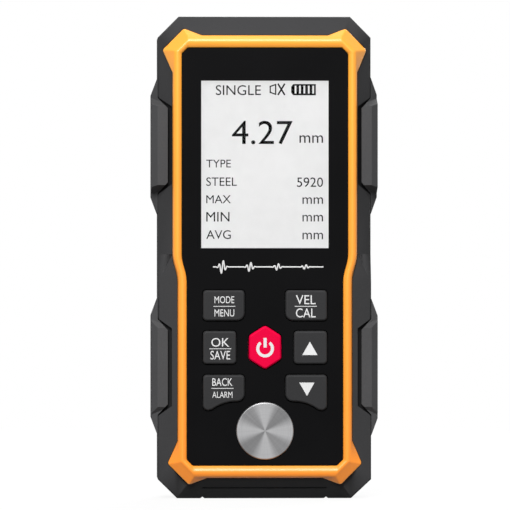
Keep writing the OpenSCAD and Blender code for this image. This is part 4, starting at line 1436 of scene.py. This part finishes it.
@dataclass
class Key:
    """One sprung key with what is printed on it. Sizes are in millimetres, angles in degrees."""

    node: str
    symbol: Symbol
    low: Point
    high: Point
    words: tuple[str, str] = ("", "")
    finish: Finish = Finish.KEY
    ink: Finish = Finish.KEY_INK
    edge_round: float = 0.16
    cap_depth: float = 1.2
    ink_lift: float = 0.005
    squeeze: float = 0.72
    word_gap: float = 0.55
    rule: float = 0.17
    rule_reach: float = 0.3
    ring_line: float = 0.82
    ring_angles: Point = (128.0, 412.0)
    bar_half: float = 0.42
    bar_foot: float = 0.3

    def build(self) -> None:
        """Build the cap and print on it."""
        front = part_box(self.node)[0].y
        cap_edge = front + self.cap_depth * MM
        cap = Refiner(self.edge_round, segments=3, sharper_than=25.0,
                      pick=lambda edge: all(v.co.y < cap_edge for v in edge.verts))
        add_piece(f"{self.node}_cap", cap.mesh(self.node), self.finish, self.node, [self.node])
        ink = InkSheet(front / MM - self.ink_lift)
        {Symbol.WORDS: self._words, Symbol.UP: self._arrow, Symbol.DOWN: self._arrow,
         Symbol.POWER: self._power}[self.symbol](ink)
        ink.build(f"{self.node}_print", self.ink, self.node)

    def _words(self, ink: InkSheet) -> None:
        """Print two short words with a line between them.

        Args:
            ink: The sheet to print on.
        """
        (left, foot), (right, top) = self.low, self.high
        middle, half = (foot + top) / 2, self.rule / 2
        ink.words(self.words[0], (left, middle + self.word_gap), self.high, squeeze=self.squeeze)
        ink.words(self.words[1], self.low, (right, middle - self.word_gap), squeeze=self.squeeze)
        ink.bar((left - self.rule_reach, middle - half), (right + self.rule_reach, middle + half))

    def _arrow(self, ink: InkSheet) -> None:
        """Print a filled triangle that points up or down.

        Args:
            ink: The sheet to print on.
        """
        tip, base = (self.high[1], self.low[1]) if self.symbol is Symbol.UP else (self.low[1], self.high[1])
        ink.polygon([(self.low[0], base), (self.high[0], base), ((self.low[0] + self.high[0]) / 2, tip)])

    def _power(self, ink: InkSheet) -> None:
        """Print the usual sign for switching on.

        Args:
            ink: The sheet to print on.
        """
        reach = (self.high[0] - self.low[0]) / 2
        x, z = self.low[0] + reach, self.low[1] + reach
        ink.arc((x, z), (reach, reach - self.ring_line), self.ring_angles)
        ink.bar((x - self.bar_half, z + self.bar_foot), (x + self.bar_half, self.high[1]))


@dataclass
class Keypad:
    """The seven keys, the mat and the domes under them. Sizes are in millimetres.

    The dome's shape gives shares of its radius, each with a share of its height.
    """

    dome_radius: float = 3.0
    dome_height: float = 0.9
    dome_shape: tuple[Point, ...] = ((0.0, 1.0), (0.25, 0.97), (0.5, 0.84), (0.75, 0.58), (0.92, 0.24))
    dome_rim: float = 0.05
    dome_sides: int = 24
    keys: tuple[Key, ...] = (
        Key("power_key", Symbol.POWER, (-2.38, 38.16), (2.38, 43.4),
            finish=Finish.POWER, ink=Finish.POWER_INK),
        Key("mode_key", Symbol.WORDS, (-13.6, 48.9), (-8.3, 54.9), ("MODE", "MENU")),
        Key("velocity_key", Symbol.WORDS, (8.3, 48.9), (13.6, 54.9), ("VEL", "CAL")),
        Key("confirm_key", Symbol.WORDS, (-14.7, 37.6), (-9.4, 43.4), ("OK", "SAVE")),
        Key("up_key", Symbol.UP, (10.0, 38.8), (14.1, 42.4)),
        Key("return_key", Symbol.WORDS, (-14.2, 27.0), (-8.8, 32.7), ("BACK", "ALARM")),
        Key("down_key", Symbol.DOWN, (9.2, 27.8), (13.3, 31.4)),
    )

    def build(self) -> None:
        """Build and dress the keypad."""
        for key in self.keys:
            key.build()
        dress_node("keypad_mat", Finish.SEAL)
        self._domes()

    def _domes(self) -> None:
        """Spread a pressed dome under every key."""
        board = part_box("dome_switches")[1].y / MM
        r, h = self.dome_radius, self.dome_height
        profile = [(r * share, -h * height) for share, height in self.dome_shape]
        dome = lathe([*profile, (r, -self.dome_rim), (r, 0), (0, 0)], "dome", self.dome_sides)
        places = []
        for key in self.keys:
            low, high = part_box(key.node)
            places.append(((low.x + high.x) / 2 / MM, board, (low.z + high.z) / 2 / MM))
        mesh = grow(TREES.spread, seed_points(places), Finish.PLATED, Piece=dome)
        bpy.data.objects.remove(dome)
        add_piece("key_domes", mesh, Finish.PLATED, replaces=["dome_switches"])


@dataclass
class Electronics:
    """The board with what is on it, the probe sockets and their leads. Sizes are in millimetres."""

    socket_round: float = 0.18
    lead_radius: float = 0.8
    lead_bend: float = 5.0
    lead_steps: int = 10
    lead_sides: int = 14

    def build(self) -> None:
        """Build and dress the electronics."""
        for node, finish in (("main_board", Finish.BOARD), ("board_screws", Finish.PLATED),
                             ("buzzer", Finish.BUZZER), ("socket_nuts", Finish.PLATED),
                             ("socket_insulators", Finish.INSULATOR), ("socket_contacts", Finish.CONTACT)):
            dress_node(node, finish)
        for node in ("probe_socket_left", "probe_socket_right"):
            mesh = Refiner(self.socket_round, sharper_than=30.0).mesh(node)
            add_piece(f"{node}_shell", mesh, Finish.PLATED, replaces=[node])
        self._leads()

    def _leads(self) -> None:
        """Bend a lead from each socket's pin round to the board."""
        low, high = (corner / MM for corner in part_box("probe_leads"))
        radius, bend, steps = self.lead_radius, self.lead_bend, self.lead_steps
        centre_y, centre_z = high.y - radius - bend, low.z + radius + bend
        curve = [(centre_y + bend * math.cos(t), centre_z - bend * math.sin(t))
                 for t in (math.pi / 2 * i / steps for i in range(steps + 1))]
        route = [(high.y - radius, high.z), *curve, (low.y, low.z + radius)]
        path = seed_path([[(x, y, z) for y, z in route] for x in (low.x + radius, high.x - radius)])
        mesh = grow(TREES.tube, path, Finish.LEAD, Radius=radius * MM, Sides=self.lead_sides)
        add_piece("probe_lead_pair", mesh, Finish.LEAD, replaces=["probe_leads"])


@dataclass
class PowerSupply:
    """The hinged door, the cells and their contacts. Sizes are in millimetres."""

    door_round: float = 0.3
    cell_y: float = 7.6
    plate: tuple[float, float, float] = (8.8, 8.6, 0.4)
    spring_foot: float = 3.4
    spring_tip: float = 2.0
    spring_wire: float = 0.35
    spring_height: float = 2.5
    spring_sink: float = 0.1

    def build(self) -> None:
        """Build and dress the power supply."""
        door = Refiner(self.door_round, sharper_than=30.0).mesh("battery_door")
        add_piece("battery_cover", door, Finish.HOUSING, "battery_door", ["battery_door"])
        for node in ("battery_left", "battery_middle", "battery_right"):
            dress_node(node, Finish.CELL)
        dress_node("plate_contacts", Finish.PLATED)
        self._springs()

    def _springs(self) -> None:
        """Wind a spring onto the contact plate at one end of every cell."""
        low, high = (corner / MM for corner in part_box("spring_contacts"))
        width, depth, thick = self.plate
        across = high.x - width / 2
        ends = [(-across, low.z, 1), (across, low.z, 1), (0.0, high.z, -1)]
        lift = thick + self.spring_wire - self.spring_sink
        points = seed_points([(x, self.cell_y, z + side * lift) for x, z, side in ends],
                             [(0.0 if side > 0 else math.pi, 0.0, 0.0) for _, _, side in ends])
        coils = grow(TREES.spring, points, Finish.PLATED, Foot=self.spring_foot * MM,
                     Tip=self.spring_tip * MM, Height=self.spring_height * MM, Wire=self.spring_wire * MM)
        shape = bmesh.new()
        shape.from_mesh(coils)
        for x, z, side in ends:
            centre = Vector((x, (low.y + high.y) / 2, z + side * thick / 2)) * MM
            bmesh.ops.create_cube(shape, size=MM, matrix=Matrix.Translation(centre)
                                  @ Matrix.Diagonal((width, depth, thick, 1.0)))
        shape.to_mesh(coils)
        shape.free()
        add_piece("contact_springs", coils, Finish.PLATED, replaces=["spring_contacts"])


@dataclass(frozen=True)
class Lamp:
    """A soft square lamp. Lengths are in metres, the power is in watts."""

    name: str
    place: tuple[float, float, float]
    side: float
    power: float

    def hang(self, aim: Place) -> None:
        """Hang the lamp.

        Args:
            aim: The point that it faces.
        """
        data = bpy.data.lights.new(self.name, "AREA")
        data.shape, data.size, data.energy = "SQUARE", self.side, self.power
        lamp = bpy.data.objects.new(self.name, data)
        link(lamp)
        lamp.location = self.place
        lamp.rotation_euler = (Vector(aim) - Vector(self.place)).to_track_quat("-Z", "Y").to_euler()


@dataclass
class Studio:
    """Camera, light and a plain white sweep. Lengths are in metres, angles in degrees."""

    picture_width: float = PICTURE_SIDE * PIXEL * MM
    aim: tuple[float, float, float] = (-2.5 * MM, -0.008, 65.7 * MM)
    turn: float = -1.8
    lift: float = 0.0
    lens: float = 400.0
    sensor: float = 36.0
    lamps: tuple[Lamp, ...] = (
        Lamp("key_light", (-0.22, -1.25, 0.9), 0.7, 33.0),
        Lamp("fill_light", (0.5, -0.6, 0.25), 0.5, 0.5),
        Lamp("top_light", (0.0, 0.0, 0.6), 0.4, 0.7),
        Lamp("back_light", (0.25, 0.75, 0.5), 0.6, 14.0),
    )
    room_light: float = 0.08
    sweep_width: float = 6.0
    sweep_front: float = -3.0
    sweep_back: float = 2.6
    sweep_bend: float = 0.8
    sweep_top: float = 3.4
    sweep_steps: int = 16
    sweep_dim: Colour = (0.15, 0.15, 0.15)
    sweep_pale: Colour = (0.8, 0.8, 0.8)
    glow_near: Point = (0.2, 0.9)
    glow_far: Point = (0.6, 1.0)

    def build(self) -> None:
        """Set the whole studio up."""
        bpy.context.scene.view_settings.view_transform = "Standard"
        self._camera()
        self._world()
        self._sweep()
        for lamp in self.lamps:
            lamp.hang(self.aim)

    def _camera(self) -> None:
        """Aim a long lens at the front, as the photograph was taken."""
        data = bpy.data.cameras.new("camera")
        data.lens, data.sensor_width = self.lens, self.sensor
        camera = bpy.data.objects.new("camera", data)
        link(camera)
        turn, lift = math.radians(self.turn), math.radians(self.lift)
        back = Vector((math.sin(turn) * math.cos(lift), -math.cos(turn) * math.cos(lift), math.sin(lift)))
        away = self.picture_width * self.lens / self.sensor
        camera.location = Vector(self.aim) + back * away
        camera.rotation_euler = (-back).to_track_quat("-Z", "Y").to_euler()
        bpy.context.scene.camera = camera

    @staticmethod
    def _seen(graph: Graph) -> NodeSocket:
        """Tell the rays that should see a white background from those that light the gauge.

        Args:
            graph: The graph of the world or of the sweep.

        Returns:
            A socket that is 1 for camera, mirror and window rays.
        """
        path = graph.add("ShaderNodeLightPath").outputs
        through = graph.math("MAXIMUM", path["Is Glossy Ray"], path["Is Transmission Ray"])
        return graph.math("MAXIMUM", path["Is Camera Ray"], through)

    def _world(self) -> None:
        """Light the room evenly, with white behind the object for the camera."""
        world = bpy.data.worlds.new("studio")
        world.use_nodes = True
        bpy.context.scene.world = world
        graph = Graph(world.node_tree)
        background = world.node_tree.nodes["Background"]
        graph.feed(background, "Strength", graph.spread(self._seen(graph), self.room_light, 1.0))
        graph.feed(background, "Color", (*WHITE, 1.0))

    def _sweep(self) -> None:
        """Stand the gauge on a pale floor that curves up into a backdrop."""
        back, bend, steps = self.sweep_back, self.sweep_bend, self.sweep_steps
        profile = [(self.sweep_front, 0.0)]
        profile += [(back - bend + bend * math.sin(t), bend - bend * math.cos(t))
                    for t in (math.pi / 2 * i / steps for i in range(steps + 1))]
        profile.append((back, self.sweep_top))
        places = [(side * self.sweep_width / 2, y, z) for y, z in profile for side in (-1, 1)]
        faces = [(2 * i, 2 * i + 1, 2 * i + 3, 2 * i + 2) for i in range(len(profile) - 1)]
        mesh = bpy.data.meshes.new("sweep")
        mesh.from_pydata(places, [], faces)
        mesh.shade_smooth()
        mesh.materials.append(self._sweep_material())
        sweep = bpy.data.objects.new("sweep", mesh)
        link(sweep)

    def _sweep_material(self) -> Material:
        """Make the sweep's white, which glows more the further it lies from the gauge.

        Returns:
            The finished material.
        """
        surface = Surface("white_sweep")
        graph = surface.graph
        grain = surface.grain(fineness=300.0, mottle=0.01)
        seen = self._seen(graph)
        surface.toned(graph.mix(seen, self.sweep_dim, self.sweep_pale), grain["Tone"])
        surface.fix(Roughness=0.9, Specular_IOR_Level=0.0)
        glow = graph.add("ShaderNodeEmission", {"Color": (*WHITE, 1.0), "Strength": 1.0})
        away = graph.vector("LENGTH", surface.place)["Value"]
        (near, near_share), (far, far_share) = self.glow_near, self.glow_far
        share = graph.times(seen, graph.spread(away, near_share, far_share, near, far))
        blend = graph.add("ShaderNodeMixShader", {0: share, 1: surface.shader.outputs[0], 2: glow.outputs[0]})
        graph.feed(surface.material.node_tree.nodes["Material Output"], "Surface", blend.outputs[0])
        return surface.material


def main() -> None:
    """Build every sub-assembly in order and report its pieces."""
    logging.basicConfig(level=logging.INFO, format="%(name)s %(message)s")
    assemblies = (Case(), FrontFrame(), Face(), Display(), Keypad(), Electronics(), PowerSupply(), Studio())
    for assembly in assemblies:
        LOG.info("building %s", type(assembly).__name__)
        assembly.build()


if __name__ == "__main__":
    main()
